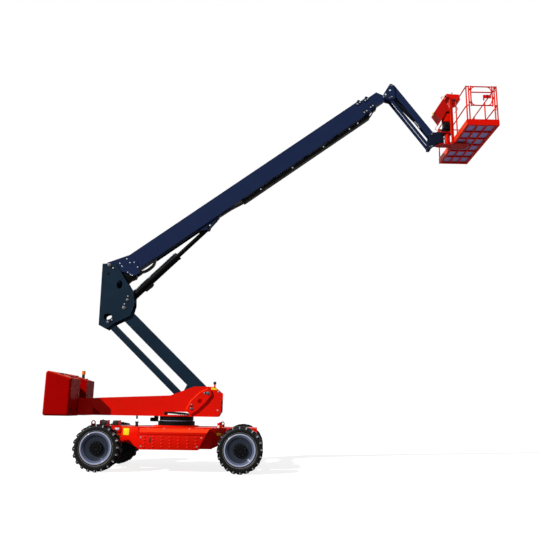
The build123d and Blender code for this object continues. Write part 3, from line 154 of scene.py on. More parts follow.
def add(tree: Tree, kind: str, settings: dict | None = None,
        links: dict | None = None) -> bpy.types.Node:
    """Adds a node with its settings and links.

    Args:
        tree: The material's or world's node tree.
        kind: The node's type.
        settings: Properties of the node, or default values of its inputs, by name.
        links: Output sockets that feed the node's inputs, by input name or number.

    Returns:
        The new node.
    """
    node = tree.nodes.new(kind)
    for key, value in (settings or {}).items():
        if isinstance(key, str) and hasattr(node, key):
            setattr(node, key, value)
        else:
            node.inputs[key].default_value = value
    for key, source in (links or {}).items():
        tree.links.new(source, node.inputs[key])
    return node


class Finish:
    """A surface finish that is built once as a material and shared by its pieces."""

    name: str
    slot: Slot
    _made: dict[str, bpy.types.Material] = {}

    def material(self) -> bpy.types.Material:
        """Builds the material on first use.

        Returns:
            The finish's one material.
        """
        if self.name not in Finish._made:
            made = bpy.data.materials.new(self.name)
            made.use_nodes = True
            made.node_tree.nodes.clear()
            surface = self.surface(made.node_tree)
            add(made.node_tree, "ShaderNodeOutputMaterial", None, {"Surface": surface.outputs[0]})
            Finish._made[self.name] = made
        return Finish._made[self.name]

    def surface(self, tree: Tree) -> bpy.types.Node:
        """Builds the shader. Each finish has its own."""
        raise NotImplementedError

    @staticmethod
    def noise(tree: Tree, size: float, detail: float) -> Socket:
        """Blotches in Object coordinates.

        Args:
            tree: The material's node tree.
            size: Size of a blotch in metres.
            detail: Octaves of finer noise.

        Returns:
            The strength of the blotches.
        """
        place = add(tree, "ShaderNodeTexCoord").outputs["Object"]
        return add(tree, "ShaderNodeTexNoise", {"Scale": 1 / size, "Detail": detail},
                   {"Vector": place}).outputs[0]

    @classmethod
    def patches(cls, tree: Tree, size: float, shares: Flat, detail: float = 3.0,
                cut: Flat = (0.35, 0.65)) -> Socket:
        """Patches that fade into each other.

        Args:
            tree: The material's node tree.
            size: Size of a patch in metres.
            shares: The value between the patches, and on them.
            detail: Octaves of finer noise.
            cut: Where in the noise a patch begins, and where it is whole.

        Returns:
            The value.
        """
        (low, high), (start, end) = shares, cut
        return add(tree, "ShaderNodeMapRange",
                   {"From Min": start, "From Max": end, "To Min": low, "To Max": high},
                   {"Value": cls.noise(tree, size, detail)}).outputs[0]

    @classmethod
    def grain(cls, tree: Tree, size: float, depth: float, strength: float,
              detail: float = 3.0) -> Socket:
        """Fine unevenness of the surface.

        Args:
            tree: The material's node tree.
            size: Size of a grain in metres.
            depth: Its depth in metres.
            strength: How much of the depth shows.
            detail: Octaves of finer noise.

        Returns:
            The uneven surface's normal.
        """
        return add(tree, "ShaderNodeBump", {"Strength": strength, "Distance": depth},
                   {"Height": cls.noise(tree, size, detail)}).outputs[0]


@dataclass(frozen=True)
class PaintedSteel(Finish):
    """Powder-coated steel plate: even colour, faint orange peel, a veil of dust in broad patches.

    The colour named lit is a painted highlight: faces that look up and to the rear, towards the sun, are
    drawn lighter in it.
    """

    name: str
    slot: Slot
    colour: str
    dusty: str
    roughness: float = 0.40
    coat: float = 0.04
    sheen: float = 0.05
    lit: str = ""
    dust_patch: float = 0.6
    mottle: float = 0.04
    peel_size: float = 0.009
    peel_depth: float = 0.003
    lit_way: Point = (-0.6, 0.0, 0.8)
    lit_share: float = 0.62

    def surface(self, tree: Tree) -> bpy.types.Node:
        """Builds the paint.

        Args:
            tree: The material's node tree.

        Returns:
            The shader node.
        """
        # Dust lies in patches of about 0.6 m, with 40 mm mottling that still shows from far away.
        broad = self.patches(tree, self.dust_patch, (0.0, 0.7))
        fine = self.patches(tree, self.mottle, (0.6, 1.0), 5.0)
        veil = add(tree, "ShaderNodeMath", {"operation": "MULTIPLY"}, {0: broad, 1: fine}).outputs[0]
        colour = add(tree, "ShaderNodeMix",
                     {"data_type": "RGBA", 6: linear(self.colour), 7: linear(self.dusty)},
                     {0: veil}).outputs[2]
        # Painted highlight: faces turned up and to the rear are mixed towards the lit colour.
        if self.lit:
            normal = add(tree, "ShaderNodeTexCoord").outputs["Normal"]
            turned = add(tree, "ShaderNodeVectorMath", {"operation": "DOT_PRODUCT", 1: self.lit_way},
                         {0: normal}).outputs["Value"]
            share = add(tree, "ShaderNodeMapRange",
                        {"From Min": 0.33, "From Max": 0.58, "To Min": 0.0, "To Max": self.lit_share},
                        {"Value": turned}).outputs[0]
            colour = add(tree, "ShaderNodeMix", {"data_type": "RGBA", 7: linear(self.lit)},
                         {0: share, 6: colour}).outputs[2]
        # Orange peel is 3 mm on the real coat; 9 mm is the finest that a close view can show.
        bump = self.grain(tree, self.peel_size, self.peel_depth, 0.12, 1.0)
        rough = self.patches(tree, 0.25, (self.roughness - 0.05, self.roughness + 0.08))
        return add(tree, "ShaderNodeBsdfPrincipled",
                   {"Coat Weight": self.coat, "Coat Roughness": 0.12, "IOR": 1.5,
                    "Specular IOR Level": self.sheen},
                   {"Base Color": colour, "Roughness": rough, "Normal": bump})


@dataclass(frozen=True)
class TyreRubber(Finish):
    """Carbon-black rubber, moulded: near black, dull, with grey dust, a fine grain and painted glints on the
    lug ends.
    """

    name: str
    slot: Slot
    colour: str
    dusty: str
    scuffed: str = ""
    axis_x: float = 0.0
    half_width: float = 0.190
    lug_foot: float = 0.446
    edge: float = 0.006
    dust_patch: float = 0.12
    mould_grain: float = 0.006

    def scuffs(self, tree: Tree) -> Socket:
        """Finds the ends of the lugs on all four wheels, where glints are painted.

        Args:
            tree: The material's node tree.

        Returns:
            A factor of 1 on the outer ends of the lugs.
        """
        place = add(tree, "ShaderNodeTexCoord").outputs["Object"]
        wheel_x, wheel_y, wheel_z = WHEEL_CENTRE
        centred = add(tree, "ShaderNodeVectorMath", {"operation": "SUBTRACT", 1: (self.axis_x, 0, wheel_z)},
                      {0: place}).outputs[0]
        # The four wheels mirror each other, so one wheel's distances serve for all.
        folded = add(tree, "ShaderNodeVectorMath", {"operation": "ABSOLUTE"}, {0: centred}).outputs[0]
        spoke = add(tree, "ShaderNodeVectorMath",
                    {"operation": "MULTIPLY_ADD", 1: (1, 0, 1), 2: (-wheel_x, 0, 0)},
                    {0: folded}).outputs[0]
        reach = add(tree, "ShaderNodeVectorMath", {"operation": "LENGTH"}, {0: spoke}).outputs["Value"]
        ring = add(tree, "ShaderNodeMapRange",
                   {"From Min": self.lug_foot, "From Max": self.lug_foot + self.edge},
                   {"Value": reach}).outputs[0]
        sideways = add(tree, "ShaderNodeSeparateXYZ", None, {0: folded}).outputs[1]
        outer = wheel_y + self.half_width
        face = add(tree, "ShaderNodeMapRange",
                   {"From Min": outer - self.edge, "From Max": outer - self.edge / 3},
                   {"Value": sideways}).outputs[0]
        both = add(tree, "ShaderNodeMath", {"operation": "MULTIPLY"}, {0: ring, 1: face}).outputs[0]
        # The painted glints are broken up at random.
        glint_patches = self.patches(tree, 0.05, (0.25, 1.0), 4.0, (0.40, 0.58))
        return add(tree, "ShaderNodeMath", {"operation": "MULTIPLY"}, {0: both, 1: glint_patches}).outputs[0]

    def surface(self, tree: Tree) -> bpy.types.Node:
        """Builds the rubber.

        Args:
            tree: The material's node tree.

        Returns:
            The shader node.
        """
        dust = self.patches(tree, self.dust_patch, (0.0, 0.55), 6.0, (0.42, 0.75))
        colour = add(tree, "ShaderNodeMix",
                     {"data_type": "RGBA", 6: linear(self.colour), 7: linear(self.dusty)},
                     {0: dust}).outputs[2]
        # Painted glints: the lug ends take a pale colour.
        if self.scuffed:
            colour = add(tree, "ShaderNodeMix", {"data_type": "RGBA", 7: linear(self.scuffed)},
                         {0: self.scuffs(tree), 6: colour}).outputs[2]
        # Mould grain of 2 mm drawn at 6 mm.
        bump = self.grain(tree, self.mould_grain, 0.003, 0.3, 2.0)
        return add(tree, "ShaderNodeBsdfPrincipled",
                   {"Roughness": 0.5, "IOR": 1.52, "Specular IOR Level": 0.14},
                   {"Base Color": colour, "Normal": bump})


@dataclass(frozen=True)
class BareMetal(Finish):
    """Metal without paint: ground, plated or chromed, with a fine grain and broader dull spots."""

    name: str
    slot: Slot
    colour: str
    roughness: float
    ground: float = 0.004
    ground_depth: float = 0.0002

    def surface(self, tree: Tree) -> bpy.types.Node:
        """Builds the metal.

        Args:
            tree: The material's node tree.

        Returns:
            The shader node.
        """
        bump = self.grain(tree, self.ground, self.ground_depth, 0.15, 2.0)
        rough = self.patches(tree, 0.05, (self.roughness, self.roughness + 0.12))
        return add(tree, "ShaderNodeBsdfPrincipled", {"Base Color": linear(self.colour), "Metallic": 1.0},
                   {"Roughness": rough, "Normal": bump})


@dataclass(frozen=True)
class Moulded(Finish):
    """Injection-moulded plastic or rubber hose: flat colour with a light grain."""

    name: str
    slot: Slot
    colour: str
    roughness: float = 0.5
    mould_grain: float = 0.004
    transmission: float = 0.0
    dusty: str = "#4a4a48"

    def surface(self, tree: Tree) -> bpy.types.Node:
        """Builds the plastic.

        Args:
            tree: The material's node tree.

        Returns:
            The shader node.
        """
        shade = self.patches(tree, 0.08, (0.0, 0.25))
        colour = add(tree, "ShaderNodeMix",
                     {"data_type": "RGBA", 6: linear(self.colour), 7: linear(self.dusty)},
                     {0: shade}).outputs[2]
        bump = self.grain(tree, self.mould_grain, 0.0005, 0.2)
        return add(tree, "ShaderNodeBsdfPrincipled",
                   {"Roughness": self.roughness, "IOR": 1.49, "Transmission Weight": self.transmission,
                    "Specular IOR Level": 0.25},
                   {"Base Color": colour, "Normal": bump})


@dataclass(frozen=True)
class StudioFloor(Finish):
    """A matt pale floor that glows for the camera alone, just below white, so that the shadow shows."""

    name: str
    colour: str
    glow: float

    def surface(self, tree: Tree) -> bpy.types.Node:
        """Builds the floor.

        Args:
            tree: The material's node tree.

        Returns:
            The shader node.
        """
        matt = add(tree, "ShaderNodeBsdfDiffuse", {"Color": linear(self.colour)}).outputs[0]
        glow = add(tree, "ShaderNodeEmission", {"Color": linear("#ffffff"), "Strength": self.glow}).outputs[0]
        lit = add(tree, "ShaderNodeAddShader", None, {0: matt, 1: glow}).outputs[0]
        seen = add(tree, "ShaderNodeLightPath").outputs["Is Camera Ray"]
        return add(tree, "ShaderNodeMixShader", None, {0: seen, 1: matt, 2: lit})


# The lit colours below are painted highlights on faces turned up and to the rear.
RED = PaintedSteel("powder_coat_red", Slot.RED, "#d90e00", "#c61203", lit="#f8481c")
# A darker copy of the red, painted shade: on the counterweight, in the covers' seams, in the doublers' holes
# and on the tail's plates.
SHADE_RED = PaintedSteel("cast_weight_red", Slot.RED, "#a00000", "#900400", 0.45, 0.0, 0.02, "#f4401a")
DEEP_RED = PaintedSteel("powder_coat_red_shaded", Slot.RED, "#b80c04", "#9c0e08", lit="#e83a18")
NAVY = PaintedSteel("powder_coat_navy", Slot.NAVY, "#162243", "#182745", 0.42, 0.02, lit="#39496c")
TEAL = PaintedSteel("powder_coat_navy_weathered", Slot.NAVY, "#12212f", "#172a3b", 0.44, 0.0, lit="#34465a")
DARK_NAVY = PaintedSteel("powder_coat_navy_shaded", Slot.NAVY, "#0c1426", "#101a2c", 0.42, 0.02,
                         lit="#2c3a58")
BLACK = PaintedSteel("chassis_black_satin", Slot.BLACK, "#08080a", "#121110", 0.44, 0.02)
# Near black satin: the own black of the barrel and the cable tray, and painted shade on the chrome rod, on
# the web in the boom's root and on the strips under the boom.
BLACK_AND_SHADE = PaintedSteel("cylinder_black_satin", Slot.BLACK, "#030304", "#09090a", 0.5, 0.0, 0.04)
RIM_GREY = PaintedSteel("wheel_grey_satin", Slot.RIM, "#262c38", "#30353f", 0.38, 0.05)
# Lighter copies of the rim paint, painted highlight on the rim's slope and lip; the pale one also draws the
# slew ring's highlight bands.
SLOPE = PaintedSteel("rim_slope_steel_blue", Slot.RIM, "#525a74", "#626a80", 0.34, 0.1)
PALE_HIGHLIGHT = PaintedSteel("rim_flange_pale", Slot.RIM, "#9498ae", "#a8aabc", 0.26, 0.3)
MESH = PaintedSteel("floor_mesh_lavender", Slot.GREY, "#a89ede", "#9a92c4", 0.5, 0.0)
SIDEWALL = TyreRubber("sidewall_line_worn", Slot.TYRE, "#6a6a66", "#8a8880")
CHROME = BareMetal("hard_chrome_rod", Slot.CHROME, "#d4d6da", 0.08)
ZINC = BareMetal("zinc_plated_bolt", Slot.STEEL, "#a9adb4", 0.30)
STEEL = BareMetal("ground_steel_pin", Slot.STEEL, "#5c5b60", 0.34)
HOSE = Moulded("hydraulic_hose_black", Slot.PLASTIC, "#060607", 0.4, 0.002)
PLASTIC = Moulded("abs_black_moulded", Slot.PLASTIC, "#0a0a0c", 0.45)
AMBER = Moulded("acrylic_amber_lens", Slot.AMBER, "#ff8a00", 0.15, 0.02, 0.35)
YELLOW = Moulded("vinyl_yellow_blank", Slot.AMBER, "#f4dc00", 0.35, 0.02)
WHITE = Moulded("vinyl_pale_blank", Slot.GREY, "#e4ecf4", 0.3, 0.02)
FLOOR = StudioFloor("studio_floor_white", "#9a9a9a", 0.84)


class Yard:
    """The loaded frame, and the machine's own origin in it."""

    def __init__(self) -> None:
        """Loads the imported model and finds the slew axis."""
        self.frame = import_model()
        self.cad_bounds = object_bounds()
        low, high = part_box("slew_ring_lower")
        self.axis_x = (low[0] + high[0]) / 2

    def at(self, x: float, y: float, z: float) -> Vector:
        """A point of the machine's own frame, in the row frame."""
        return Vector((x + self.axis_x, y, z))

    def view(self, spots: Iterable[Flat], y: float) -> list[Vector]:
        """Points of the side view, as pairs of X and Z, all at one Y."""
        return [self.at(x, y, z) for x, z in spots]

    def joint(self, name: str) -> Vector:
        """The place of a joint of the record, in the row frame."""
        joints = self.frame["record"]["behaviour"]["joints"]
        return next(Vector(joint["pos_m"]) for joint in joints if joint["name"] == name)

    def paint_nodes(self, finishes: dict[str, Finish]) -> None:
        """Gives every CAD node the finish of its record slot or of its own name.

        Args:
            finishes: Finish by node name or by slot name.
        """
        slots = {row["node"]: row["material_slot"] for row in self.frame["record"]["subparts"]}
        for node, thing in self.frame["nodes"].items():
            finish = finishes.get(node) or finishes[slots[node]]
            thing.data.materials.clear()
            thing.data.materials.append(finish.material())


class Shape:
    """A piece under construction, as one bmesh made of several rounded forms.

    Edges that turn by more than SHARP are rounded, and faces that meet at less than SMOOTH are shaded
    as one, both in radians. Points of a turned form closer than MERGE metres become one.
    """

    SHARP = 0.6
    SMOOTH = math.radians(32)
    MERGE = 1e-6

    def __init__(self) -> None:
        """Starts empty."""
        self.mesh = bmesh.new()

    def _round(self, verts: Iterable, radius: float, steps: int) -> None:
        """Bevels the sharp edges between the given vertices.

        Args:
            verts: The vertices.
            radius: Radius of the rounded edges.
            steps: Segments of each.
        """
        if radius <= 0:
            return
        edges = list({edge for vert in verts for edge in vert.link_edges if len(edge.link_faces) == 2
                      and edge.calc_face_angle(0.0) > self.SHARP})
        if edges:
            bmesh.ops.bevel(self.mesh, geom=edges, offset=radius, offset_type="OFFSET", segments=steps,
                            profile=0.5, affect="EDGES", material=-1, clamp_overlap=True)

    def box(self, low: Vector, high: Vector, radius: float = 0.003, steps: int = 2,
            turn: Matrix | None = None) -> Shape:
        """A box with rounded edges.

        Args:
            low: Lowest corner.
            high: Highest corner.
            radius: Radius of the edges.
            steps: Segments of each rounded edge.
            turn: A turn about the box's centre.

        Returns:
            The same shape, so that calls can be chained.
        """
        middle = (low + high) / 2
        size = high - low
        place = Matrix.Translation(middle) @ (turn or Matrix()) @ Matrix.Diagonal((*size, 1))
        made = bmesh.ops.create_cube(self.mesh, size=1, matrix=place)
        self._round(made["verts"], radius, steps)
        return self

    def several(self, form: Callable[..., Shape], yard: Yard, rows: Iterable[tuple]) -> Shape:
        """Several boxes or rods in the machine's own frame.

        Args:
            form: This shape's box or rod.
            yard: The machine's origin.
            rows: First and last point and, where they aren't the usual ones, the other sizes.

        Returns:
            The same shape.
        """
        for first, last, *sizes in rows:
            form(yard.at(*first), yard.at(*last), *sizes)
        return self

    def boxes(self, yard: Yard, rows: Iterable[tuple]) -> Shape:
        """Several boxes, as rows of lowest and highest corner, radius and steps."""
        return self.several(self.box, yard, rows)

    def rods(self, yard: Yard, rows: Iterable[tuple]) -> Shape:
        """Several rods, as rows of start, end, radius, sides, rounding and end radius."""
        return self.several(self.rod, yard, rows)

    def slab(self, yard: Yard, across: Span, y: float, half: float, radius: float = 0.003,
             turn: Matrix | None = None) -> Shape:
        """A thin box that stands along the machine.

        Args:
            yard: The machine's origin.
            across: Lowest and highest corner in the side view, as pairs of X and Z.
            y: Where its middle is.
            half: Half its thickness along Y.
            radius: Radius of the edges.
            turn: A turn about the box's centre.

        Returns:
            The same shape.
        """
        (x_low, z_low), (x_high, z_high) = across
        return self.box(yard.at(x_low, y - half, z_low), yard.at(x_high, y + half, z_high), radius, 2, turn)

    def rod(self, start: Vector, end: Vector, radius: float, sides: int = 24, rounding: float = 0.0,
            end_radius: float | None = None) -> Shape:
        """A round or many-sided bar between two points.

        Args:
            start: Centre of the first end.
            end: Centre of the other end.
            radius: Radius at the start.
            sides: Number of sides.
            rounding: Radius of the end edges.
            end_radius: Radius at the end, when it tapers.

        Returns:
            The same shape.
        """
        line = end - start
        turn = line.to_track_quat("Z", "Y").to_matrix().to_4x4()
        made = bmesh.ops.create_cone(
            self.mesh, cap_ends=True, segments=sides, radius1=radius,
            radius2=radius if end_radius is None else end_radius, depth=line.length,
            matrix=Matrix.Translation((start + end) / 2) @ turn)
        self._round(made["verts"], rounding, 2)
        return self

    def bolt(self, at: Vector, outward: Vector, radius: float = 0.018, height: float = 0.014) -> Shape:
        """A hexagon head on a washer, pointing outwards.

        Args:
            at: Centre of the washer's foot.
            outward: Direction in which the head stands up.
            radius: Half the head's width over its corners.
            height: Height of the head.

        Returns:
            The same shape.
        """
        out = outward.normalized()
        sunk, washer_height, washer_radius, chamfer = 0.001, height * 0.25, radius * 1.35, height * 0.12
        self.rod(at - out * sunk, at + out * washer_height, washer_radius, 20)
        return self.rod(at, at + out * height, radius, 6, chamfer)

    def plate(self, outline: Sequence[Vector], thickness: Vector, radius: float = 0.003,
              steps: int = 2) -> Shape:
        """A flat plate with the given outline.

        Args:
            outline: Corners in order.
            thickness: The way from the first face to the other.
            radius: Radius of the edges.
            steps: Segments of each rounded edge.

        Returns:
            The same shape.
        """
        verts = [self.mesh.verts.new(corner) for corner in outline]
        face = self.mesh.faces.new(verts)
        made = bmesh.ops.extrude_face_region(self.mesh, geom=[face])
        moved = [item for item in made["geom"] if isinstance(item, bmesh.types.BMVert)]
        bmesh.ops.translate(self.mesh, verts=moved, vec=thickness)
        faces = {f for vert in verts + moved for f in vert.link_faces}
        bmesh.ops.recalc_face_normals(self.mesh, faces=list(faces))
        self._round(verts + moved, radius, steps)
        return self

    def lathe(self, profile: Sequence[Flat], centre: Vector, axis: Vector, sides: int = 64) -> Shape:
        """A turned form.

        Args:
            profile: Pairs of distance along the axis and radius, from one end to the other.
            centre: Where the distance is zero.
            axis: Direction of the axis.
            sides: Steps of the turn.

        Returns:
            The same shape.
        """
        out = axis.normalized()
        across = out.orthogonal().normalized()
        verts = [self.mesh.verts.new(centre + out * u + across * r) for u, r in profile]
        edges = [self.mesh.edges.new(pair) for pair in zip(verts, verts[1:])]
        bmesh.ops.spin(self.mesh, geom=verts + edges, cent=centre, axis=out, dvec=(0, 0, 0),
                       angle=math.tau, steps=sides, use_merge=True, use_duplicate=False)
        bmesh.ops.remove_doubles(self.mesh, verts=self.mesh.verts, dist=self.MERGE)
        bmesh.ops.recalc_face_normals(self.mesh, faces=self.mesh.faces)
        return self

    def tube(self, points: Sequence[Vector], radius: float, sides: int = 12, steps: int = 5) -> Shape:
        """A round tube along a smooth curve through the points.

        Args:
            points: Points of the tube's middle line.
            radius: Its radius.
            sides: Number of sides.
            steps: Steps between two points.

        Returns:
            The same shape.
        """
        ends = [points[0] * 2 - points[1], *points, points[-1] * 2 - points[-2]]
        line = []
        for a, b, c, d in zip(ends, ends[1:], ends[2:], ends[3:]):
            for step in range(steps):
                t = step / steps
                line.append(0.5 * (2 * b + (c - a) * t + (2 * a - 5 * b + 4 * c - d) * t * t
                                   + (3 * b - a - 3 * c + d) * t ** 3))
        line.append(points[-1])
        last = len(line) - 1
        ways = [(line[min(i + 1, last)] - line[max(i - 1, 0)]).normalized() for i in range(last + 1)]
        across = ways[0].orthogonal().normalized()
        rings = []
        for spot, way in zip(line, ways):
            across = (across - way * across.dot(way)).normalized()
            other = way.cross(across)
            rays = [across * math.cos(math.tau * k / sides) + other * math.sin(math.tau * k / sides)
                    for k in range(sides)]
            rings.append([self.mesh.verts.new(spot + ray * radius) for ray in rays])
        faces = [self.mesh.faces.new((a[k], a[(k + 1) % sides], b[(k + 1) % sides], b[k]))
                 for a, b in zip(rings, rings[1:]) for k in range(sides)]
        faces += [self.mesh.faces.new(rings[0][::-1]), self.mesh.faces.new(rings[-1])]
        bmesh.ops.recalc_face_normals(self.mesh, faces=faces)
        return self

    def piece(self, name: str, finish: Finish, body: str, slot: Slot | None = None,
              smooth: bool = True) -> bpy.types.Object:
        """Makes the shape a piece of the machine.

        Args:
            name: The piece's name.
            finish: Its finish.
            body: The CAD body that it rides on.
            slot: The record's slot, where it isn't the finish's own. Not used.
            smooth: Whether faces that meet at a shallow angle are shaded as one.

        Returns:
            The new object.
        """
        data = bpy.data.meshes.new(name)
        self.mesh.to_mesh(data)
        self.mesh.free()
        data.materials.append(finish.material())
        thing = bpy.data.objects.new(name, data)
        bpy.context.scene.collection.objects.link(thing)
        if smooth:
            for face in data.polygons:
                face.use_smooth = True
            data.set_sharp_from_angle(angle=self.SMOOTH)
        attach(thing, body)
        log.info("%s rides on %s with %d faces", name, body, len(data.polygons))
        return thing


@dataclass
class Wheel:
    """The dress of one wheel: band, lip, bowl, hub cap, nuts, valve and sidewall line.

    The profiles are pairs of distance from the wheel's middle plane and radius. The rim's face lies at
    0.170 m and its dish at 0.120 m, and the turned pieces start 0.5 mm or more clear of them.
    """

    name: str
    body: str
    centre: Vector
    side: Side
    band: Outline = (
        (0.1205, 0.266), (0.140, 0.270), (0.152, 0.292), (0.168, 0.308), (0.1700, 0.3155),
        (0.1205, 0.3155), (0.1205, 0.266))
    lip: Outline = (
        (0.1705, 0.3135), (0.174, 0.316), (0.1795, 0.323), (0.1810, 0.332), (0.178, 0.342),
        (0.173, 0.3475), (0.1705, 0.3475), (0.1705, 0.3135))
    bowl: Outline = (
        (0.1205, 0.1425), (0.1225, 0.150), (0.1235, 0.196), (0.127, 0.232), (0.135, 0.256),
        (0.1445, 0.2655), (0.1205, 0.2655), (0.1205, 0.1425))
    hub: Outline = (
        (0.1705, 0.0), (0.1705, 0.1355), (0.121, 0.1355), (0.121, 0.1415), (0.160, 0.1415),
        (0.172, 0.136), (0.174, 0.128), (0.174, 0.098), (0.171, 0.094), (0.171, 0.088), (0.180, 0.084),
        (0.183, 0.060), (0.183, 0.030), (0.181, 0.026), (0.181, 0.0))
    line: Outline = (
        (0.1700, 0.3675), (0.1745, 0.3680), (0.1775, 0.3715), (0.1765, 0.3760), (0.1720, 0.3760),
        (0.1700, 0.3675))
    nuts: int = 10
    nut_circle: float = 0.117
    nut_foot: float = 0.1735
    nut_height: float = 0.010
    nut_radius: float = 0.0125
    stud_height: float = 0.014
    stud_radius: float = 0.0065
    valve: Outline = ((0.122, 0.245), (0.152, 0.233))
    valve_radius: float = 0.005

    def dress(self) -> None:
        """Adds the wheel's pieces."""
        out = self.side.out
        # The band and the lip take lighter copies of the rim paint: painted highlight.
        self.turned("rim_band", SLOPE, self.band, 96)
        self.turned("rim_lip", PALE_HIGHLIGHT, self.lip, 96)
        self.turned("rim_bowl", RIM_GREY, self.bowl, 80)
        self.turned("hub_cap", BLACK, self.hub, 64)
        nuts = Shape()
        for index in range(self.nuts):
            turn = math.tau * (index + 0.5) / self.nuts
            ray = Vector((math.cos(turn), 0, math.sin(turn)))
            foot = self.centre + out * self.nut_foot + ray * self.nut_circle
            nuts.rod(foot, foot + out * self.nut_height, self.nut_radius, 6, 0.0015)
            nuts.rod(foot, foot + out * self.stud_height, self.stud_radius, 12, 0.001)
        nuts.piece(f"wheel_nuts_{self.name}", RIM_GREY, self.body, Slot.STEEL)
        ends = [self.centre + out * across + UP * above for across, above in self.valve]
        valve = Shape().rod(*ends, self.valve_radius, 12, 0.001)
        valve.piece(f"valve_{self.name}", ZINC, self.body)
        self.turned("sidewall_line", SIDEWALL, self.line, 96)

    def turned(self, part: str, finish: Finish, profile: Outline, sides: int) -> None:
        """Adds one turned piece.

        Args:
            part: Start of the piece's name.
            finish: Its finish.
            profile: Pairs of distance from the middle plane and radius.
            sides: Steps of the turn.
        """
        shape = Shape().lathe(profile, self.centre, self.side.out, sides)
        shape.piece(f"{part}_{self.name}", finish, self.body)


@dataclass
class Member:
    """A straight member in the side view: its root, its angle and points along it."""

    root: Vector
    angle: float

    def point(self, along: float, above: float, y: float) -> Vector:
        """A point along the member and square to it.

        Args:
            along: Distance from the root along the member.
            above: Distance square to it, turned a quarter from its direction.
            y: Distance from the middle plane.

        Returns:
            The point in the row frame.
        """
        c, s = math.cos(math.radians(self.angle)), math.sin(math.radians(self.angle))
        return Vector((self.root.x + along * c - above * s, y, self.root.z + along * s + above * c))

    def view(self, spots: Iterable[Flat], y: float) -> list[Vector]:
        """Points of the side view, as pairs of along and above, all at one Y."""
        return [self.point(along, above, y) for along, above in spots]


def member_between(start: Vector, end: Vector) -> Member:
    """The member whose root is the start and which points to the end, in the side view."""
    return Member(start, math.degrees(math.atan2(end.z - start.z, end.x - start.x)))


def oblong(start: float, end: float, low: float, high: float) -> Outline:
    """The four corners of an oblong in the side view."""
    return (start, low), (end, low), (end, high), (start, high)


def shifted(line: Iterable[Point], shift: float) -> list[Flat]:
    """Moves the middle of a hose's line up or down in the side view.

    Args:
        line: Rows of the two coordinates of a point and its share of the shift.
        shift: How far a point with a share of one goes up.

    Returns:
        The moved points.
    """
    return [(along, above + share * shift) for along, above, share in line]


@dataclass
class PinEnd:
    """A pin's end on a cheek, with the bolt of its keeper plate a little way off."""

    centre: Vector
    reach: float
    radius: float
    keeper: Flat
    keeper_half: float = 0.019
    keeper_past: float = 0.022
    keeper_sunk: float = 0.012
    keeper_thickness: float = 0.019
    bolt_foot: float = 0.006
    bolt_size: float = 0.012
    # Each round part's foot and top, as distances from the cheek, and its share of the pin's radius.
    end: Point = (-0.004, 0.014, 0.95)
    stub: Point = (0.010, 0.020, 0.34)

    def add_to(self, ends: Shape, plates: Shape, bolts: Shape) -> None:
        """Adds the pin's parts on both sides of the machine.

        Args:
            ends: Shape that takes the pin's end.
            plates: Shape that takes the keeper plates.
            bolts: Shape that takes the keeper's bolts.
        """
        far = Vector((self.keeper[0], 0, self.keeper[1]))
        way = far.normalized()
        across = Vector((-way.z, 0, way.x)) * self.keeper_half
        for side in Side:
            out = side.out
            face = Vector((self.centre.x, side.value * self.reach, self.centre.z))
            for (foot, top, share), sides, rounding in ((self.end, 36, 0.003), (self.stub, 20, 0.002)):
                ends.rod(face + out * foot, face + out * top, self.radius * share, sides, rounding)
            near = face + way * self.radius * 0.55 - out * self.keeper_sunk
            tip = face + far + way * self.keeper_past - out * self.keeper_sunk
            corners = [near - across, tip - across, tip + across, near + across]
            plates.plate(corners, out * self.keeper_thickness)
            bolts.bolt(face + far + out * self.bolt_foot, out, self.bolt_size, self.bolt_size)


def pin_ends(body: str, reach: float, pins: Iterable[tuple[Vector, float, Flat]]) -> None:
    """Makes the pieces of several pins of one body.

    Args:
        body: The body that they ride on, which also starts their names.
        reach: Distance of the cheeks' faces from the middle plane.
        pins: Each pin's centre and radius, and the way to its keeper's bolt.
    """
    ends, plates, bolts = Shape(), Shape(), Shape()
    for centre, radius, keeper in pins:
        PinEnd(centre, reach, radius, keeper).add_to(ends, plates, bolts)
    ends.piece(f"{body}_pin_ends", STEEL, body)
    plates.piece(f"{body}_pin_keepers", BLACK, body)
    bolts.piece(f"{body}_keeper_bolts", ZINC, body)


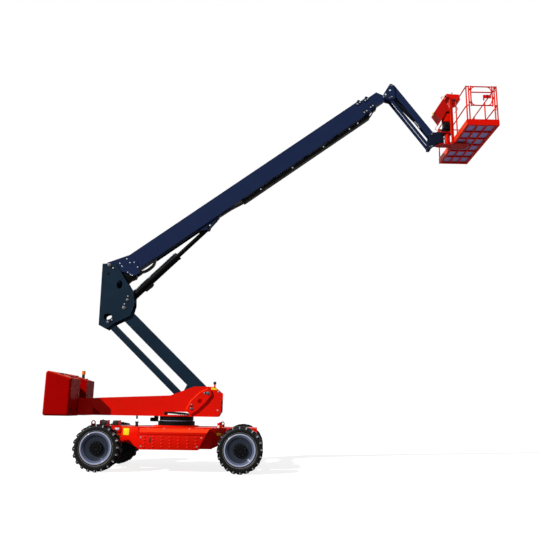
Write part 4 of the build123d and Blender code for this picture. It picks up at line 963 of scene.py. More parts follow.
@dataclass
class Chassis:
    """Skins, tread, latches and bolts of the side covers, webs and fittings of the frame."""

    yard: Yard
    rear: float = -0.640
    front: float = 0.870
    foot: float = 0.640
    bottom: float = 0.485
    top: float = 0.925
    outer: float = 1.190
    margin: float = 0.008
    skin_bands: Outline = ((0.495, 0.789), (0.803, 0.852))
    skin: float = 0.005
    seam: Flat = (0.790, 0.802)
    rows: tuple[float, ...] = (0.545, 0.614, 0.683, 0.748)
    columns: tuple[float, ...] = (-0.520, -0.333, -0.143, 0.040, 0.224, 0.415, 0.598)
    oval: Point = (0.030, 0.012, 0.013)
    latch: Span = ((-0.413, 0.633), (-0.377, 0.744))
    latch_handle: Span = ((-0.405, 0.668), (-0.385, 0.736))
    side_bolts: Outline = ((-0.598, 0.740), (-0.590, 0.554), (0.710, 0.746), (0.620, 0.556))
    top_bolts: tuple[float, ...] = (-0.120, 0.435)
    top_bolt_y: float = 1.080
    # Each web's end on the narrow frame and on its wide middle.
    web_spans: Outline = ((-1.190, -0.762), (1.200, 0.902))
    web_near: float = 0.451
    web_far: float = 0.749
    web_thickness: float = 0.014
    frame_z: float = 0.943
    # Rows of side view, distance from the middle plane, half thickness and edge radius.
    brackets: Rows = (
        (((-1.372, 0.812), (-1.196, 0.918)), 0.462, 0.010, 0.006),
        (((0.992, 0.900), (1.052, 1.050)), 0.462, 0.012, 0.008))
    reflectors: Rows = (
        (((-1.330, 0.862), (-1.239, 0.908)), 0.473, 0.003, 0.002),
        (((1.000, 0.935), (1.044, 0.995)), 0.475, 0.003, 0.002))
    # Rows of side view, distance from the middle plane, and the web's way outwards and along.
    labels: Rows = (
        (((-1.148, 0.755), (-0.965, 0.905)), 0.545, (0.299, 0.428)),
        (((0.985, 0.775), (1.105, 0.832)), 0.610, (-0.299, 0.298)))
    # Each clamp's ends along the machine and where its red edge plates start, and both clamps' sides.
    clamps: Rows = (
        (-1.693, -1.503, (-1.697, -1.523)), (-1.421, -1.240, (-1.262,)))
    clamp_depth: Flat = (-0.452, -0.278)
    lock_post: Rows = (
        ((-0.884, -0.440, 0.944), (-0.826, -0.380, 1.030), 0.006),
        ((-0.894, -0.450, 1.028), (-0.818, -0.370, 1.054), 0.006))

    def edge(self, z: float) -> float:
        """Where the slanted front edge of a cover is at a height."""
        return self.foot + (self.front - self.foot) * (z - self.bottom) / (self.top - self.bottom)

    def dress(self) -> None:
        """Adds the pieces of both covers, of the webs and of the frame's top."""
        for side in Side:
            self.cover(side)
            self.webs(side)
            self.signs(side)
        self.frame_top()

    def cover(self, side: Side) -> None:
        """Adds one cover's pressed skin, tread ovals, latch and bolts, and painted shade in the skin's seam.

        Args:
            side: The machine's side.
        """
        out, sign = side.out, side.value
        y, rear = sign * (self.outer - 0.001), self.rear + self.margin
        skinned = y + sign * self.skin
        skin = Shape()
        for low, high in self.skin_bands:
            fronts = self.edge(low) - 0.012, self.edge(high) - 0.012
            corners = ((rear, low), (fronts[0], low), (fronts[1], high), (rear, high))
            skin.plate(self.yard.view(corners, y), out * self.skin, 0.002)
        skin.piece(f"cover_skin_{side.word}", RED, "chassis")
        # Painted shade: a darker red strip along the seam between the two skins.
        low, high = self.seam
        seam_end = self.edge((low + high) / 2) - 0.014
        seam_shade = Shape().slab(self.yard, ((rear, low), (seam_end, high)), y, 0.002, 0.0)
        seam_shade.piece(f"cover_seam_{side.word}", SHADE_RED, "chassis")
        tread = Shape()
        for z in self.rows:
            for x in (x for x in self.columns if x + 0.05 < self.edge(z)):
                place = Matrix.Translation(self.yard.at(x, skinned, z)) @ Matrix.Diagonal((*self.oval, 1))
                bmesh.ops.create_uvsphere(tread.mesh, u_segments=14, v_segments=8, radius=1, matrix=place)
        tread.piece(f"cover_tread_{side.word}", RED, "chassis")
        latch = Shape().slab(self.yard, self.latch, y, 0.006, 0.004)
        latch.slab(self.yard, self.latch_handle, y + sign * 0.008, 0.004)
        latch.piece(f"cover_latch_{side.word}", PLASTIC, "chassis")
        bolts = Shape()
        for spot in self.yard.view(self.side_bolts, skinned):
            bolts.bolt(spot, out, 0.011, 0.008)
        for x in self.top_bolts:
            bolts.bolt(self.yard.at(x, sign * self.top_bolt_y, self.top), UP, 0.016, 0.012)
        bolts.piece(f"cover_bolts_{side.word}", ZINC, "chassis")

    def webs(self, side: Side) -> None:
        """Adds the slanted webs and flanges between the frame's ends and its wide middle.

        Args:
            side: The machine's side.
        """
        at, sign = self.yard.at, side.value
        webs = Shape()
        for end_x, middle_x in self.web_spans:
            near, far = (end_x, sign * self.web_near), (middle_x, sign * self.web_far)
            outline = [at(*near, 0.655), at(*far, 0.505), at(*far, self.frame_z), at(*near, self.frame_z)]
            across = Vector((far[0] - near[0], far[1] - near[1], 0)).cross(UP).normalized()
            inward = across if across.y * sign < 0 else -across
            webs.plate(outline, inward * self.web_thickness, 0.002)
            flange = [at(x, y, self.frame_z - 0.013) for x, y in (near, far, (middle_x, near[1]))]
            webs.plate(flange, UP * 0.013, 0.001)
        webs.piece(f"frame_webs_{side.word}", RED, "chassis")

    def signs(self, side: Side) -> None:
        """Adds one side's reflectors with their brackets, and the blank labels on the slanted webs.

        Args:
            side: The machine's side.
        """
        sign = side.value
        pale, yellow, red = Shape(), Shape(), Shape()
        for shape, rows in ((red, self.brackets), (pale, self.reflectors)):
            for across, y, half, radius in rows:
                shape.slab(self.yard, across, sign * y, half, radius)
        for across, y, way in self.labels:
            turn = Matrix.Rotation(sign * math.atan2(*way), 4, "Z")
            yellow.slab(self.yard, across, sign * y, 0.003, 0.002, turn)
        red.piece(f"reflector_brackets_{side.word}", RED, "chassis")
        pale.piece(f"reflectors_{side.word}", WHITE, "chassis")
        yellow.piece(f"blank_labels_{side.word}", YELLOW, "chassis")

    def frame_top(self) -> None:
        """Adds the hose clamps and the lock post on the frame."""
        blocks, plates = Shape(), Shape()
        (near, far), base = self.clamp_depth, 0.946
        for low, high, red_edges in self.clamps:
            outline = ((low, base), (high - 0.012, base), (high - 0.012, 1.068), (low + 0.024, 1.068))
            blocks.plate(self.yard.view(outline, near + 0.012), Vector((0, 0.150, 0)), 0.010)
            edges = [((x, near, base), (x + 0.020, far, 1.073), 0.004) for x in red_edges]
            plates.boxes(self.yard, [*edges, ((low, near, base - 0.002), (high, far, 0.962))])
        blocks.boxes(self.yard, self.lock_post)
        plates.piece("clamp_plates", RED, "chassis")
        blocks.piece("clamp_blocks", PLASTIC, "chassis")


@dataclass
class Turntable:
    """Pin ends, hoses, horn and bolts of the turntable's cheeks, and the dress of the counterweight."""

    yard: Yard
    cheek: float = 0.300
    pin_end: float = 0.352
    doubler_foot: float = 0.3115
    doubler_outline: Outline = (
        (-0.125, 0.072), (0.100, 0.152), (0.390, 0.152), (0.590, 0.085), (0.610, 0.0), (0.560, -0.095),
        (0.350, -0.128), (0.090, -0.128), (-0.110, -0.095))
    hole_rim: Outline = (
        (-0.002, 0.0), (0.0006, 0.0), (0.0006, 0.046), (0.0020, 0.050), (-0.002, 0.054), (-0.002, 0.0))
    # Pale bands on the slew ring's races: painted highlight.
    seals: Rows = (("lower", "chassis", -0.016), ("upper", "turntable", 0.006))
    seal_height: float = 0.009
    seal_past: float = 0.0035
    # X, Z and share of the lift that tells each hose from the next.
    hose_line: tuple[Point, ...] = (
        (-0.34, 1.220, 0), (-0.30, 1.246, 1), (-0.22, 1.256, 1), (-0.06, 1.246, 1), (0.14, 1.232, 1),
        (0.33, 1.222, 0))
    hoses_a_side: int = 4
    hose_radius: float = 0.012
    hose_y: float = 0.262
    hose_step: float = 0.026
    hose_lift: float = 0.006
    clips_a_side: int = 6
    clip_start: float = -0.012
    clip_step: float = 0.050
    horn: Point = (0.893, -0.290, 1.920)
    horn_cap: Outline = (
        (0.0, 0.0), (0.0, 0.026), (0.012, 0.033), (0.048, 0.035), (0.064, 0.026), (0.070, 0.0))
    label: Outline = ((0.812, 1.797), (0.962, 1.797), (0.958, 1.802), (0.890, 1.854), (0.812, 1.854))
    cheek_bolts: Outline = ((0.982, 1.757), (0.979, 1.332))
    lock_pin: tuple = ((-0.883, -0.290, 1.184), (-0.883, -0.290, 1.108), 0.020, 20, 0.004)
    weight_face: float = -2.260
    weight_bolts: Outline = ((0.42, 1.30), (0.42, 1.62), (0.62, 1.82), (0.90, 1.30))
    lifting_pads: Outline = ((-2.62, 2.082), (-2.38, 2.011))
    lifting_pad_y: float = 0.58
    gusset: Span = ((-1.960, 1.190), (-1.600, 1.330))
    gusset_y: float = 0.264

    def dress(self) -> None:
        """Adds the turntable's pieces."""
        foot, link = self.yard.joint("riser_lift"), self.yard.joint("riser_link_swing")
        pin_ends("turntable", self.pin_end, [(foot, 0.045, (-0.084, 0.004)), (link, 0.036, (-0.004, 0.092))])
        self.doubler(foot, link)
        self.race_bands()
        self.hoses()
        self.fittings()
        self.weight()

    def doubler(self, foot: Vector, link: Vector) -> None:
        """Adds the thick plate that carries both pins on each cheek, chamfered along its edge, and a darker
        red disc in its hole as painted shade.

        Args:
            foot: The riser arm's pin.
            link: The riser link's pin.
        """
        way, middle = member_between(link, foot), (link + foot) / 2
        plates, hole_shades = Shape(), Shape()
        for side in Side:
            outline = way.view(self.doubler_outline, side.value * self.doubler_foot)
            plates.plate(outline, side.out * (self.pin_end - self.doubler_foot), 0.014, 1)
            face = Vector((middle.x, side.value * self.pin_end, middle.z))
            # Painted shade: a darker red disc in each hole.
            hole_shades.lathe(self.hole_rim, face, side.out, 36)
        plates.piece("riser_foot_doublers", RED, "turntable", smooth=False)
        hole_shades.piece("doubler_hole_rims", SHADE_RED, "turntable")

    def race_bands(self) -> None:
        """Adds pale bands above and below the joint of the slew ring's races, a painted highlight."""
        low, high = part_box("slew_ring_upper")
        radius = (high[0] - low[0]) / 2
        for name, body, z in self.seals:
            profile = oblong(z, z + self.seal_height, radius - 0.002, radius + self.seal_past)
            highlight_band = Shape().lathe((*profile, profile[0]), self.yard.at(0, 0, low[2]), UP, 80)
            highlight_band.piece(f"slew_seal_{name}", PALE_HIGHLIGHT, body, Slot.STEEL)

    def hoses(self) -> None:
        """Adds the hoses in the cheeks' windows and the pale clips that hold them."""
        hoses, clips = Shape(), Shape()
        for index in range(self.hoses_a_side):
            line = shifted(self.hose_line, self.hose_lift * index)
            for side in Side:
                y = side.value * (self.hose_y - index * self.hose_step)
                hoses.tube(self.yard.view(line, y), self.hose_radius)
        for side in Side:
            for index in range(self.clips_a_side):
                x = self.clip_start + index * self.clip_step
                clips.slab(self.yard, ((x, 1.206), (x + 0.016, 1.217)), side.value * 0.222, 0.055, 0.002)
        hoses.piece("window_hoses", HOSE, "turntable")
        clips.piece("window_hose_clips", WHITE, "turntable")

    def fittings(self) -> None:
        """Adds the horn, the blank label, the lock pin and the cheeks' bolts."""
        x, y, z = self.horn
        stem = Shape().rods(self.yard, [((x, y, z - 0.080), (x, y, z + 0.005), 0.019, 20, 0.003)])
        stem.piece("horn_stem", RED, "turntable")
        horn = Shape().lathe(self.horn_cap, self.yard.at(*self.horn), UP, 32)
        horn.piece("horn_cap", PLASTIC, "turntable")
        label = Shape().plate(self.yard.view(self.label, -self.cheek), Side.RIGHT.out * 0.002, 0.0)
        label.piece("cheek_blank_label", YELLOW, "turntable")
        bolts, pins = Shape(), Shape()
        for side in Side:
            for spot in self.yard.view(self.cheek_bolts, side.value * self.cheek):
                bolts.bolt(spot, side.out, 0.014, 0.010)
        pins.rods(self.yard, [self.lock_pin])
        bolts.piece("cheek_bolts", ZINC, "turntable")
        pins.piece("turntable_lock_pin", PLASTIC, "turntable")

    def weight(self) -> None:
        """Adds the counterweight's front bolts and lifting pads, and darker red plates that close the tail,
        painted shade.
        """
        bolts, pads, shade_plates = Shape(), Shape(), Shape()
        for side in Side:
            for y, z in self.weight_bolts:
                bolts.bolt(self.yard.at(self.weight_face, side.value * y, z), Vector((1, 0, 0)), 0.016, 0.010)
            for x, z in self.lifting_pads:
                across = ((x - 0.050, z - 0.004), (x + 0.050, z + 0.028))
                pads.slab(self.yard, across, side.value * self.lifting_pad_y, 0.018, 0.006)
            # Painted shade: darker red plates inside the tail.
            shade_plates.slab(self.yard, self.gusset, side.value * self.gusset_y, 0.004, 0.002)
        bolts.piece("counterweight_bolts", BLACK, "turntable", Slot.STEEL)
        shade_plates.piece("tail_gussets", SHADE_RED, "turntable")
        pads.piece("counterweight_lifting_pads", BLACK, "turntable")


@dataclass
class Section:
    """The front end of a boom section: its node, how far it reaches, and its half width and heights."""

    name: str
    front: float
    half: float
    low: float
    high: float
    top_lug: Outline = ((-0.075, -0.002), (-0.002, -0.002), (-0.002, 0.036), (-0.050, 0.036))
    foot_lug: Outline = ((-0.110, 0.002), (-0.002, 0.002), (-0.002, -0.030), (-0.080, -0.030))
    # Ends of each piece along the boom, from the section's front.
    retainer_ends: Flat = (-0.160, -0.004)
    retainer_bolts: Flat = (-0.118, -0.040)
    wear_ends: Flat = (-0.020, 0.006)
    # Edges of the lower retainer over the section's foot, and of the upper one from its top.
    lower_retainer: Flat = (0.012, 0.150)
    upper_retainer: Flat = (-0.110, -0.012)
    wear_margin: float = 0.060
    wear_depth: float = 0.021
    wear_thickness: float = 0.011
    retainer_height: float = 0.008
    sunk: float = 0.001

    def dress(self, boom: Member) -> None:
        """Adds the pad retainers with their bolts, the wear pads and the lugs.

        Args:
            boom: The boom's line.
        """
        collar, bolts, pads = Shape(), Shape(), Shape()
        front, low, high = self.front, self.low, self.high
        for side in Side:
            out, y = side.out, side.value * self.half
            for edge, (start, end) in ((low, self.lower_retainer), (high, self.upper_retainer)):
                rear, ahead = (front + u for u in self.retainer_ends)
                corners = oblong(rear, ahead, edge + start, edge + end)
                collar.plate(boom.view(corners, y - side.value * self.sunk),
                             out * (self.sunk + self.retainer_height), 0.002)
                for u in self.retainer_bolts:
                    spot = boom.point(front + u, edge + (start + end) / 2,
                                      y + side.value * self.retainer_height)
                    bolts.bolt(spot, out, 0.015, 0.012)
            rear, ahead = (front + u for u in self.wear_ends)
            pad = oblong(rear, ahead, low + self.wear_margin, high - self.wear_margin)
            pads.plate(boom.view(pad, y - side.value * self.wear_depth), out * self.wear_thickness, 0.002)
        for edge, lug in ((high, self.top_lug), (low, self.foot_lug)):
            corners = [(front + u, edge + w) for u, w in lug]
            collar.plate(boom.view(corners, -self.half * 0.8), Vector((0, self.half * 1.6, 0)), 0.004)
        collar.piece(f"{self.name}_pad_retainers", DARK_NAVY, self.name)
        bolts.piece(f"{self.name}_pad_bolts", ZINC, self.name)
        pads.piece(f"{self.name}_wear_pads", PLASTIC, self.name)


@dataclass
class Arms:
    """Dress of the riser, upright, boom, jib and their cylinders.

    Points of the boom are pairs of the distance along it from its pin and the distance above its line.
    """

    yard: Yard
    boom_angle: float = 36.8
    boom_half: float = 0.130
    cheek_half: float = 0.150
    upright_reach: float = 0.1825
    jib_reach: float = 0.124
    cylinder_base: Point = (-1.3099, 0.0, 3.9135)
    hole_cover: tuple = ((-1.53, 0.1815, 4.29), (-1.53, 0.190, 4.29), 0.125, 40, 0.002)
    root_bolts: Outline = (
        (0.434, -0.112), (0.442, -0.240), (0.530, -0.289), (0.234, -0.210), (0.232, -0.108),
        (0.531, -0.440), (0.265, -0.409), (0.312, -0.540), (0.285, -0.500))
    root_doubler: Outline = (
        (0.600, -0.078), (0.709, -0.112), (0.856, -0.172), (0.954, -0.235), (0.982, -0.356),
        (0.965, -0.490), (0.600, -0.490))
    # Along, above and share of the sag that tells each hose from the next.
    root_hose: tuple[Point, ...] = (
        (0.400, -0.470, 0), (0.480, -0.530, 1), (0.570, -0.580, 1), (0.700, -0.606, 1),
        (0.860, -0.590, 1), (0.970, -0.530, 0), (1.010, -0.480, 0))
    root_hose_ys: tuple[float, ...] = (-0.070, -0.035, 0.0, 0.035, 0.070)
    root_hose_radius: float = 0.016
    root_hose_sag: float = 0.012
    root_web: Outline = (
        (0.150, -0.300), (0.122, -0.610), (0.215, -0.600), (0.338, -0.632), (0.400, -0.585), (0.470, -0.400))
    root_web_half: float = 0.110
    under_strip: Outline = oblong(1.000, 2.330, -0.494, -0.526)
    tray_hose_ys: tuple[float, ...] = (-0.060, -0.020, 0.020, 0.060)
    tray_rear_hose: Outline = ((2.95, -0.512), (3.30, -0.522), (3.62, -0.560), (3.90, -0.572))
    tray_front_hose: Outline = (
        (7.60, -0.575), (7.74, -0.560), (7.88, -0.505), (8.02, -0.430), (8.14, -0.392))
    tray_rear_radius: float = 0.014
    tray_front_radius: float = 0.012
    tray_bolts: tuple[float, ...] = (4.20, 5.20, 6.20, 7.051, 7.328)
    tray_bolt_height: float = -0.552
    tray_bolt_y: float = 0.090
    # Each band's ends along the cylinder from its base pin, and its radius.
    gland_bands: tuple[Point, ...] = ((1.590, 1.648, 0.100), (0.130, 0.175, 0.099))
    # Along the cylinder from its base pin, and above its line.
    valve: Outline = (
        (0.440, -0.070), (0.475, -0.124), (0.560, -0.128), (0.640, -0.138), (0.715, -0.122), (0.730, -0.070))
    valve_half: float = 0.055
    pipe: Outline = (
        (0.165, 0.070), (0.175, 0.098), (0.215, 0.106), (0.90, 0.106), (1.560, 0.106), (1.598, 0.098),
        (1.606, 0.070))
    pipe_ys: tuple[float, ...] = (-0.034, 0.034)
    pipe_radius: float = 0.011
    eye_reach: float = 0.0955
    eye_bolt: Point = (0.056, 0, 0.052)
    eye_ends: tuple[Point, ...] = ((0.090, 0, 0.120), (0.205, 0, 0.200))
    head_caps: Outline = ((5.249, 9.680), (5.126, 9.557))
    boom: Member = field(init=False)

    def __post_init__(self) -> None:
        """Places the boom by the joint that it turns about."""
        self.boom = Member(self.yard.joint("boom_lift"), self.boom_angle)

    def dress(self) -> None:
        """Adds all pieces of the arms."""
        spot = self.yard.joint
        link_head = spot("upright_level") + spot("riser_link_swing") - spot("riser_lift")
        base = self.yard.at(*self.cylinder_base)
        pin_ends("upright", self.upright_reach, [
            (spot("upright_level"), 0.048, (0.005, 0.090)), (link_head, 0.038, (0.095, 0.056)),
            (spot("boom_lift"), 0.048, (0.105, -0.080)), (base, 0.036, (0.005, 0.089))])
        # Painted shade: a black disc on the far cheek, so that the hole in the upright shows dark.
        cover = Shape().rods(self.yard, [self.hole_cover])
        cover.piece("upright_hole_cover", BLACK, "upright")
        self.root()
        for section in (Section("boom_base", 7.757, self.boom_half, -0.497, -0.060),
                        Section("boom_mid", 7.998, 0.100, -0.467, -0.090)):
            section.dress(self.boom)
        self.tray()
        self.lift_cylinder(base)
        jib_link_tip = spot("jib_tip_level") + spot("jib_link_swing") - spot("jib_lift")
        pin_ends("jib_head", self.jib_reach, [
            (spot("head_level"), 0.030, (-0.052, -0.034)), (spot("jib_lift"), 0.030, (-0.058, 0.006)),
            (spot("jib_link_swing"), 0.026, (0.048, 0.030))])
        pin_ends("jib_tip", self.jib_reach, [
            (spot("jib_tip_level"), 0.030, (0.030, 0.052)), (jib_link_tip, 0.026, (0.050, 0.020))])
        self.head()

    def root(self) -> None:
        """Adds the bolts, doublers and hose loop at the boom's root, and a near black web in it and strips
        under it as painted shade.
        """
        bolts, doubler, hoses, web, shade_strips = Shape(), Shape(), Shape(), Shape(), Shape()
        for side in Side:
            for spot in self.boom.view(self.root_bolts, side.value * self.cheek_half):
                bolts.bolt(spot, side.out, 0.011, 0.005)
            edge = self.boom.view(self.root_doubler, side.value * (self.boom_half - 0.001))
            doubler.plate(edge, side.out * 0.007, 0.002)
            # Painted shade: near black strips below the boom's sides.
            shade_strips.plate(self.boom.view(self.under_strip, side.value * 0.104), side.out * 0.022)
        bolts.piece("boom_cheek_bolts", ZINC, "boom_base")
        doubler.piece("boom_root_doublers", NAVY, "boom_base", smooth=False)
        for index, y in enumerate(self.root_hose_ys):
            line = shifted(self.root_hose, -self.root_hose_sag * (index % 3))
            hoses.tube(self.boom.view(line, y), self.root_hose_radius)
        hoses.piece("boom_root_hoses", HOSE, "boom_base")
        # Painted shade: a near black web filling the boom's root.
        outline = self.boom.view(self.root_web, -self.root_web_half)
        web.plate(outline, Vector((0, 2 * self.root_web_half, 0)), 0.006)
        web.piece("boom_root_web", BLACK_AND_SHADE, "boom_base")
        shade_strips.piece("boom_under_strips", BLACK_AND_SHADE, "boom_base")

    def tray(self) -> None:
        """Adds the hoses and bolts of the cable tray under the boom."""
        hoses, bolts = Shape(), Shape()
        for y in self.tray_hose_ys:
            hoses.tube(self.boom.view(self.tray_rear_hose, y), self.tray_rear_radius)
            hoses.tube(self.boom.view(self.tray_front_hose, y), self.tray_front_radius)
        for side in Side:
            for u in self.tray_bolts:
                spot = self.boom.point(u, self.tray_bolt_height, side.value * self.tray_bolt_y)
                bolts.bolt(spot, side.out, 0.014, 0.010)
        hoses.piece("tray_hoses", HOSE, "boom_base")
        bolts.piece("tray_bolts", ZINC, "boom_base")

    def lift_cylinder(self, base: Vector) -> None:
        """Adds the boom cylinder's gland, valve block and pressure pipes, and its upper pin's dress.

        Args:
            base: Middle of the barrel's base pin.
        """
        eye = self.yard.joint("boom_cylinder_swing")
        cylinder = member_between(base, eye)
        gland = Shape()
        for start, end, radius in self.gland_bands:
            gland.rod(cylinder.point(start, 0, 0), cylinder.point(end, 0, 0), radius, 48, 0.004)
        gland.piece("boom_cylinder_gland", BLACK, "boom_cylinder_barrel")
        valve = Shape().plate(cylinder.view(self.valve, -self.valve_half),
                              Vector((0, 2 * self.valve_half, 0)), 0.008)
        valve.piece("boom_cylinder_valve", BLACK, "boom_cylinder_barrel")
        # The steel pipes take the pale finish: painted highlight along the barrel's top.
        pipes = Shape()
        for y in self.pipe_ys:
            pipes.tube(cylinder.view(self.pipe, y), self.pipe_radius)
        pipes.piece("boom_cylinder_pipes", WHITE, "boom_cylinder_barrel", Slot.STEEL)
        bolts, ends = Shape(), Shape()
        for side in Side:
            out, face = side.out, Vector((eye.x, side.value * self.eye_reach, eye.z))
            ends.rod(face - out * 0.010, face + out * 0.012, 0.034, 28, 0.003)
            bolts.bolt(face + Vector(self.eye_bolt), out, 0.015, 0.012)
            for spot in (face + Vector(way) for way in self.eye_ends):
                ends.rod(spot - out * 0.010, spot + out * 0.002, 0.014, 20)
        ends.piece("boom_eye_pin_ends", BLACK, "boom_base")
        bolts.piece("boom_eye_bolts", ZINC, "boom_base")

    def head(self) -> None:
        """Adds the pale caps on the jib head's right side."""
        caps = Shape().rods(self.yard, [
            ((x, -0.1235, z), (x, -0.1275, z), 0.024, 28, 0.001) for x, z in self.head_caps])
        caps.piece("jib_head_caps", WHITE, "jib_head")


@dataclass
class Platform:
    """Mesh floor, labels, covers, console panel, hoops and gate latch of the work platform."""

    yard: Yard
    floor_ends: Flat = (6.9365, 7.5875)
    floor_half: float = 1.157
    floor_top: float = 8.255
    bars: int = 48
    bar_half: float = 0.004
    bar_height: float = 0.004
    console_panel: Outline = ((6.745, 9.572), (7.040, 9.557), (7.040, 9.563), (6.745, 9.578))
    console_half: float = 0.165
    stick_x: float = 6.90
    stick_ys: tuple[float, ...] = (-0.10, 0.0, 0.10)
    # Foot, top, radius and the rest of the sizes of each part of a joystick.
    stick: Rows = (
        (9.566, 9.580, 0.024, 24, 0.003, 0.016), (9.578, 9.640, 0.006, 12), (9.630, 9.662, 0.013, 16, 0.004))
    knob: Outline = ((0.0, 0.0), (0.0, 0.030), (0.020, 0.034), (0.040, 0.026), (0.044, 0.0))
    knob_centre: Point = (6.911, -0.190, 9.400)
    key_switch: tuple = ((6.672, -0.206, 9.488), (6.716, -0.186, 9.528), 0.006)
    # Y, radius and line of each hoop.
    hoops: Rows = (
        (-0.168, 0.008, ((6.600, 9.430), (6.580, 9.478), (6.640, 9.494), (6.760, 9.494), (6.846, 9.478),
                         (6.895, 9.420), (6.905, 9.340))),
        (-0.168, 0.008, ((6.880, 9.225), (6.960, 9.215), (7.010, 9.170), (6.975, 9.110), (6.920, 9.043))),
        (-0.120, 0.007, ((6.495, 8.760), (6.440, 8.660), (6.404, 8.598), (6.440, 8.566), (6.502, 8.559),
                         (6.580, 8.570))))
    box_label: tuple = ((6.372, -0.120, 9.010), (6.378, -0.020, 9.090), 0.001)
    support_covers: Rows = (
        ((6.632, -0.126, 8.815), (6.800, 0.060, 9.050), 0.018, 3),
        ((6.692, -0.080, 8.212), (6.764, 0.080, 8.500), 0.010))
    valve_blocks: Rows = (
        ((6.640, -0.125, 8.600), (6.800, 0.060, 8.800), 0.014),
        ((6.600, -0.100, 8.530), (6.740, 0.020, 8.640), 0.012))
    valve_plugs: Rows = (
        ((6.700, -0.150, 8.720), (6.700, -0.120, 8.720), 0.030, 24, 0.004),
        ((6.650, -0.060, 8.790), (6.650, -0.060, 8.850), 0.020, 20, 0.003),
        ((6.720, -0.060, 8.790), (6.720, -0.060, 8.840), 0.020, 20, 0.003))
    valve_hose_ys: tuple[float, ...] = (-0.100, -0.060, -0.020, 0.020)
    valve_hose_bow: float = 0.02
    valve_hose_radius: float = 0.012
    latch_boxes: Rows = (
        ((7.301, -1.228, 8.924), (7.500, -1.186, 9.004), 0.010),
        ((7.301, -1.224, 8.860), (7.330, -1.190, 8.930), 0.006))
    latch_knob: tuple = ((7.399, -1.226, 8.979), (7.399, -1.236, 8.979), 0.024, 24, 0.003)
    # The bend in each corner of the gate, as steps along and up from the corner.
    gate_bend: Outline = ((0.0, 0.130), (0.012, 0.080), (0.038, 0.038), (0.080, 0.012), (0.130, 0.0))
    gate_tube: float = 0.012
    # From the ends of the gate's box to the middle of its frame, at the rear, the front, and top and foot.
    gate_rear_inset: float = 0.015
    gate_front_inset: float = 0.045
    gate_inset: float = 0.015
    hook_y: float = 1.196
    hook_radius: float = 0.011
    post_hooks: tuple[Outline, ...] = (
        ((7.560, 9.222), (7.604, 9.222), (7.634, 9.190), (7.630, 9.150), (7.600, 9.112), (7.560, 9.096)),
        ((7.610, 8.700), (7.640, 8.680), (7.636, 8.650), (7.600, 8.628)))

    def dress(self) -> None:
        """Adds the platform's pieces."""
        self.floor()
        self.console()
        self.guards()
        self.valves()
        self.gate_fittings()

    def floor(self) -> None:
        """Adds the raised bars of the mesh floor."""
        rear, front = self.floor_ends
        bars = Shape()
        for index in range(self.bars):
            y = -self.floor_half + index * 2 * self.floor_half / (self.bars - 1)
            bars.box(self.yard.at(rear, y - self.bar_half, self.floor_top - 0.001),
                     self.yard.at(front, y + self.bar_half, self.floor_top + self.bar_height), 0.001, 1)
        bars.piece("floor_grating", MESH, "platform")

    def console(self) -> None:
        """Adds the console's panel, joysticks, knob and key switch."""
        outline = self.yard.view(self.console_panel, -self.console_half)
        panel = Shape().plate(outline, Vector((0, 2 * self.console_half, 0)), 0.001)
        panel.piece("console_panel", PLASTIC, "platform")
        sticks = Shape().rods(self.yard, [
            ((self.stick_x, y, foot), (self.stick_x, y, top), *sizes)
            for y in self.stick_ys for foot, top, *sizes in self.stick])
        sticks.piece("console_joysticks", PLASTIC, "platform")
        knobs = Shape().lathe(self.knob, self.yard.at(*self.knob_centre), Side.RIGHT.out, 28)
        knobs.boxes(self.yard, [self.key_switch])
        knobs.piece("console_knobs", PLASTIC, "platform")

    def guards(self) -> None:
        """Adds the thin guard hoops of the tool box and the console, and the box's blank label."""
        hoops = Shape()
        for y, radius, line in self.hoops:
            hoops.tube(self.yard.view(line, y), radius)
        hoops.piece("guard_hoops", RED, "platform")
        label = Shape().boxes(self.yard, [self.box_label])
        label.piece("tool_box_blank_label", YELLOW, "platform")

    def valves(self) -> None:
        """Adds the support's covers, and the valve block with its plugs and hoses."""
        cover = Shape().boxes(self.yard, self.support_covers)
        cover.piece("platform_support_covers", RED, "platform")
        block = Shape().boxes(self.yard, self.valve_blocks).rods(self.yard, self.valve_plugs)
        block.piece("platform_valve_block", BLACK, "platform")
        hoses = Shape()
        for index, y in enumerate(self.valve_hose_ys):
            bow = self.valve_hose_bow * index
            line = ((6.640, 8.640), (6.585 - bow, 8.600), (6.560 - bow, 8.540), (6.590, 8.500),
                    (6.650, 8.530))
            hoses.tube(self.yard.view(line, y), self.valve_hose_radius)
        hoses.piece("platform_valve_hoses", HOSE, "platform")

    def gate_fittings(self) -> None:
        """Adds the gate's latch box with its knob and rounded corners, and the front post's hooks."""
        latch = Shape().boxes(self.yard, self.latch_boxes)
        latch.piece("gate_latch_box", RED, "gate")
        low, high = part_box("platform_gate")
        y = (low[1] + high[1]) / 2
        corners = Shape()
        for x, along in ((low[0] + self.gate_rear_inset, 1), (high[0] - self.gate_front_inset, -1)):
            for z, up in ((low[2] + self.gate_inset, 1), (high[2] - self.gate_inset, -1)):
                bend = [Vector((x + along * dx, y, z + up * dz)) for dx, dz in self.gate_bend]
                corners.tube(bend, self.gate_tube, 10, 3)
        corners.piece("gate_corners", RED, "gate")
        hooks = Shape()
        for side in Side:
            for line in self.post_hooks:
                hooks.tube(self.yard.view(line, side.value * self.hook_y), self.hook_radius)
        hooks.piece("front_post_hooks", RED, "platform")
        knob = Shape().rods(self.yard, [self.latch_knob])
        knob.piece("gate_latch_knob", PLASTIC, "gate")


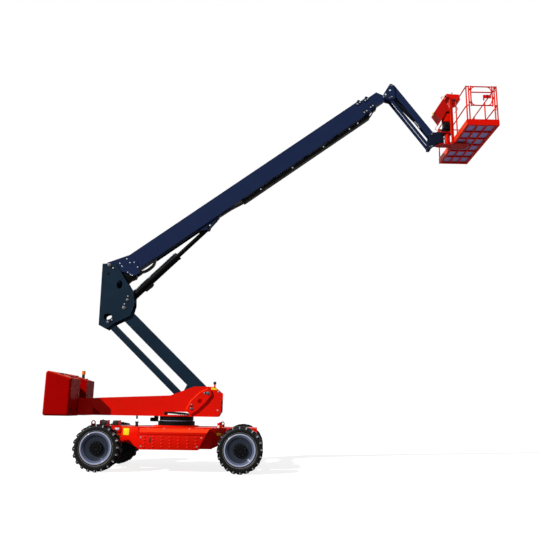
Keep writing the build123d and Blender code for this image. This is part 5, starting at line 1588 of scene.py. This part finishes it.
@dataclass
class Studio:
    """The white surroundings, the sun, the floor and the camera at the photograph's angle."""

    yard: Yard
    fill: float = 0.16
    sun: float = 4.3
    sun_spread: float = 1.5
    sun_way: Point = (1.15, 1.0, -1.0)
    floor_half: float = 60
    floor_drop: float = 0.0005
    # The camera was fitted to the photograph: its place, yaw, pitch and roll, and focal length in pixels.
    camera_spot: Point = (2.018, -15.066, 1.406)
    camera_turn: Point = (0.438, 12.609, 0.96)
    focal_pixels: float = 618.6
    picture_pixels: int = 539
    sensor: float = 36

    def build(self) -> None:
        """Adds everything around the machine."""
        bpy.context.scene.view_settings.view_transform = "Standard"
        self.surroundings()
        self.light()
        self.floor()
        self.camera()

    def surroundings(self) -> None:
        """Adds a world that is white to look at and dim as a light."""
        world = bpy.data.worlds.new("studio_white")
        bpy.context.scene.world = world
        world.use_nodes = True
        tree = world.node_tree
        tree.nodes.clear()
        path = add(tree, "ShaderNodeLightPath").outputs
        mirrored = add(tree, "ShaderNodeMath", {"operation": "MAXIMUM"},
                       {0: path["Is Glossy Ray"], 1: path["Is Transmission Ray"]}).outputs[0]
        seen = add(tree, "ShaderNodeMath", {"operation": "MAXIMUM"},
                   {0: path["Is Camera Ray"], 1: mirrored}).outputs[0]
        dim, white = (add(tree, "ShaderNodeBackground",
                          {"Color": linear("#ffffff"), "Strength": strength}).outputs[0]
                      for strength in (self.fill, 1.0))
        mixed = add(tree, "ShaderNodeMixShader", None, {0: seen, 1: dim, 2: white}).outputs[0]
        add(tree, "ShaderNodeOutputWorld", None, {"Surface": mixed})

    def light(self) -> None:
        """Adds the sun, high behind the camera's left shoulder."""
        lamp = bpy.data.lights.new("key", "SUN")
        lamp.energy = self.sun
        lamp.angle = math.radians(self.sun_spread)
        thing = bpy.data.objects.new("key", lamp)
        thing.rotation_euler = Vector(self.sun_way).to_track_quat("-Z", "Y").to_euler()
        bpy.context.scene.collection.objects.link(thing)

    def floor(self) -> None:
        """Adds the floor as a stage, just under the tyres."""
        mesh = bmesh.new()
        bmesh.ops.create_grid(mesh, x_segments=1, y_segments=1, size=self.floor_half)
        data = bpy.data.meshes.new("studio_floor")
        mesh.to_mesh(data)
        mesh.free()
        data.materials.append(FLOOR.material())
        thing = bpy.data.objects.new("studio_floor", data)
        bpy.context.scene.collection.objects.link(thing)
        thing.location.z = -self.floor_drop
        thing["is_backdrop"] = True

    def camera(self) -> None:
        """Adds the camera."""
        yaw, pitch, roll = (math.radians(turn) for turn in self.camera_turn)
        ahead = Vector((math.sin(yaw) * math.cos(pitch), math.cos(yaw) * math.cos(pitch), math.sin(pitch)))
        level = Vector((math.cos(yaw), -math.sin(yaw), 0))
        above = level.cross(ahead)
        right = level * math.cos(roll) + above * math.sin(roll)
        up = above * math.cos(roll) - level * math.sin(roll)
        lens = bpy.data.cameras.new("camera")
        lens.lens = self.focal_pixels / self.picture_pixels * self.sensor
        lens.sensor_width = self.sensor
        lens.clip_end = 200
        view = bpy.data.objects.new("camera", lens)
        columns = (*right, 0), (*up, 0), (*-ahead, 0), (*self.yard.at(*self.camera_spot), 1)
        view.matrix_world = Matrix(columns).transposed()
        bpy.context.scene.collection.objects.link(view)
        bpy.context.scene.camera = view


def main() -> None:
    """Builds the sub-assemblies in order."""
    logging.basicConfig(level=logging.INFO, format="%(message)s")
    yard = Yard()
    Studio(yard).build()
    # The third colour is the glint painted on the lug ends.
    rubber = TyreRubber("tyre_rubber_moulded", Slot.TYRE, "#070708", "#161514", "#9c9da6", yard.axis_x)
    usual = (RED, NAVY, BLACK, RIM_GREY, rubber, CHROME, STEEL, MESH, PLASTIC, AMBER)
    # The counterweight takes a darker red and the cylinder's rod a near black, both painted shade.
    own = {SHADE_RED: ("counterweight",), DEEP_RED: ("tool_box", "platform_support"), DARK_NAVY: ("jib_tip",),
           TEAL: ("upright", "riser_arm", "riser_link"),
           BLACK_AND_SHADE: ("boom_cylinder_rod", "boom_cylinder_barrel", "cable_tray")}
    yard.paint_nodes({finish.slot.value: finish for finish in usual}
                     | {node: finish for finish, nodes in own.items() for node in nodes})
    wheel_x, wheel_y, wheel_z = WHEEL_CENTRE
    for axle, end in (("steer", -1), ("drive", 1)):
        for side in Side:
            name = f"{axle}_{side.word}"
            centre = yard.at(end * wheel_x, side.value * wheel_y, wheel_z)
            Wheel(name, f"wheel_{name}", centre, side).dress()
    for assembly in (Chassis(yard), Turntable(yard), Arms(yard), Platform(yard)):
        assembly.dress()
    ({"cad": [list(map(float, corner)) for corner in yard.cad_bounds],
               "visual": [list(map(float, corner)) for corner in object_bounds()]})


if __name__ == "__main__":
    main()
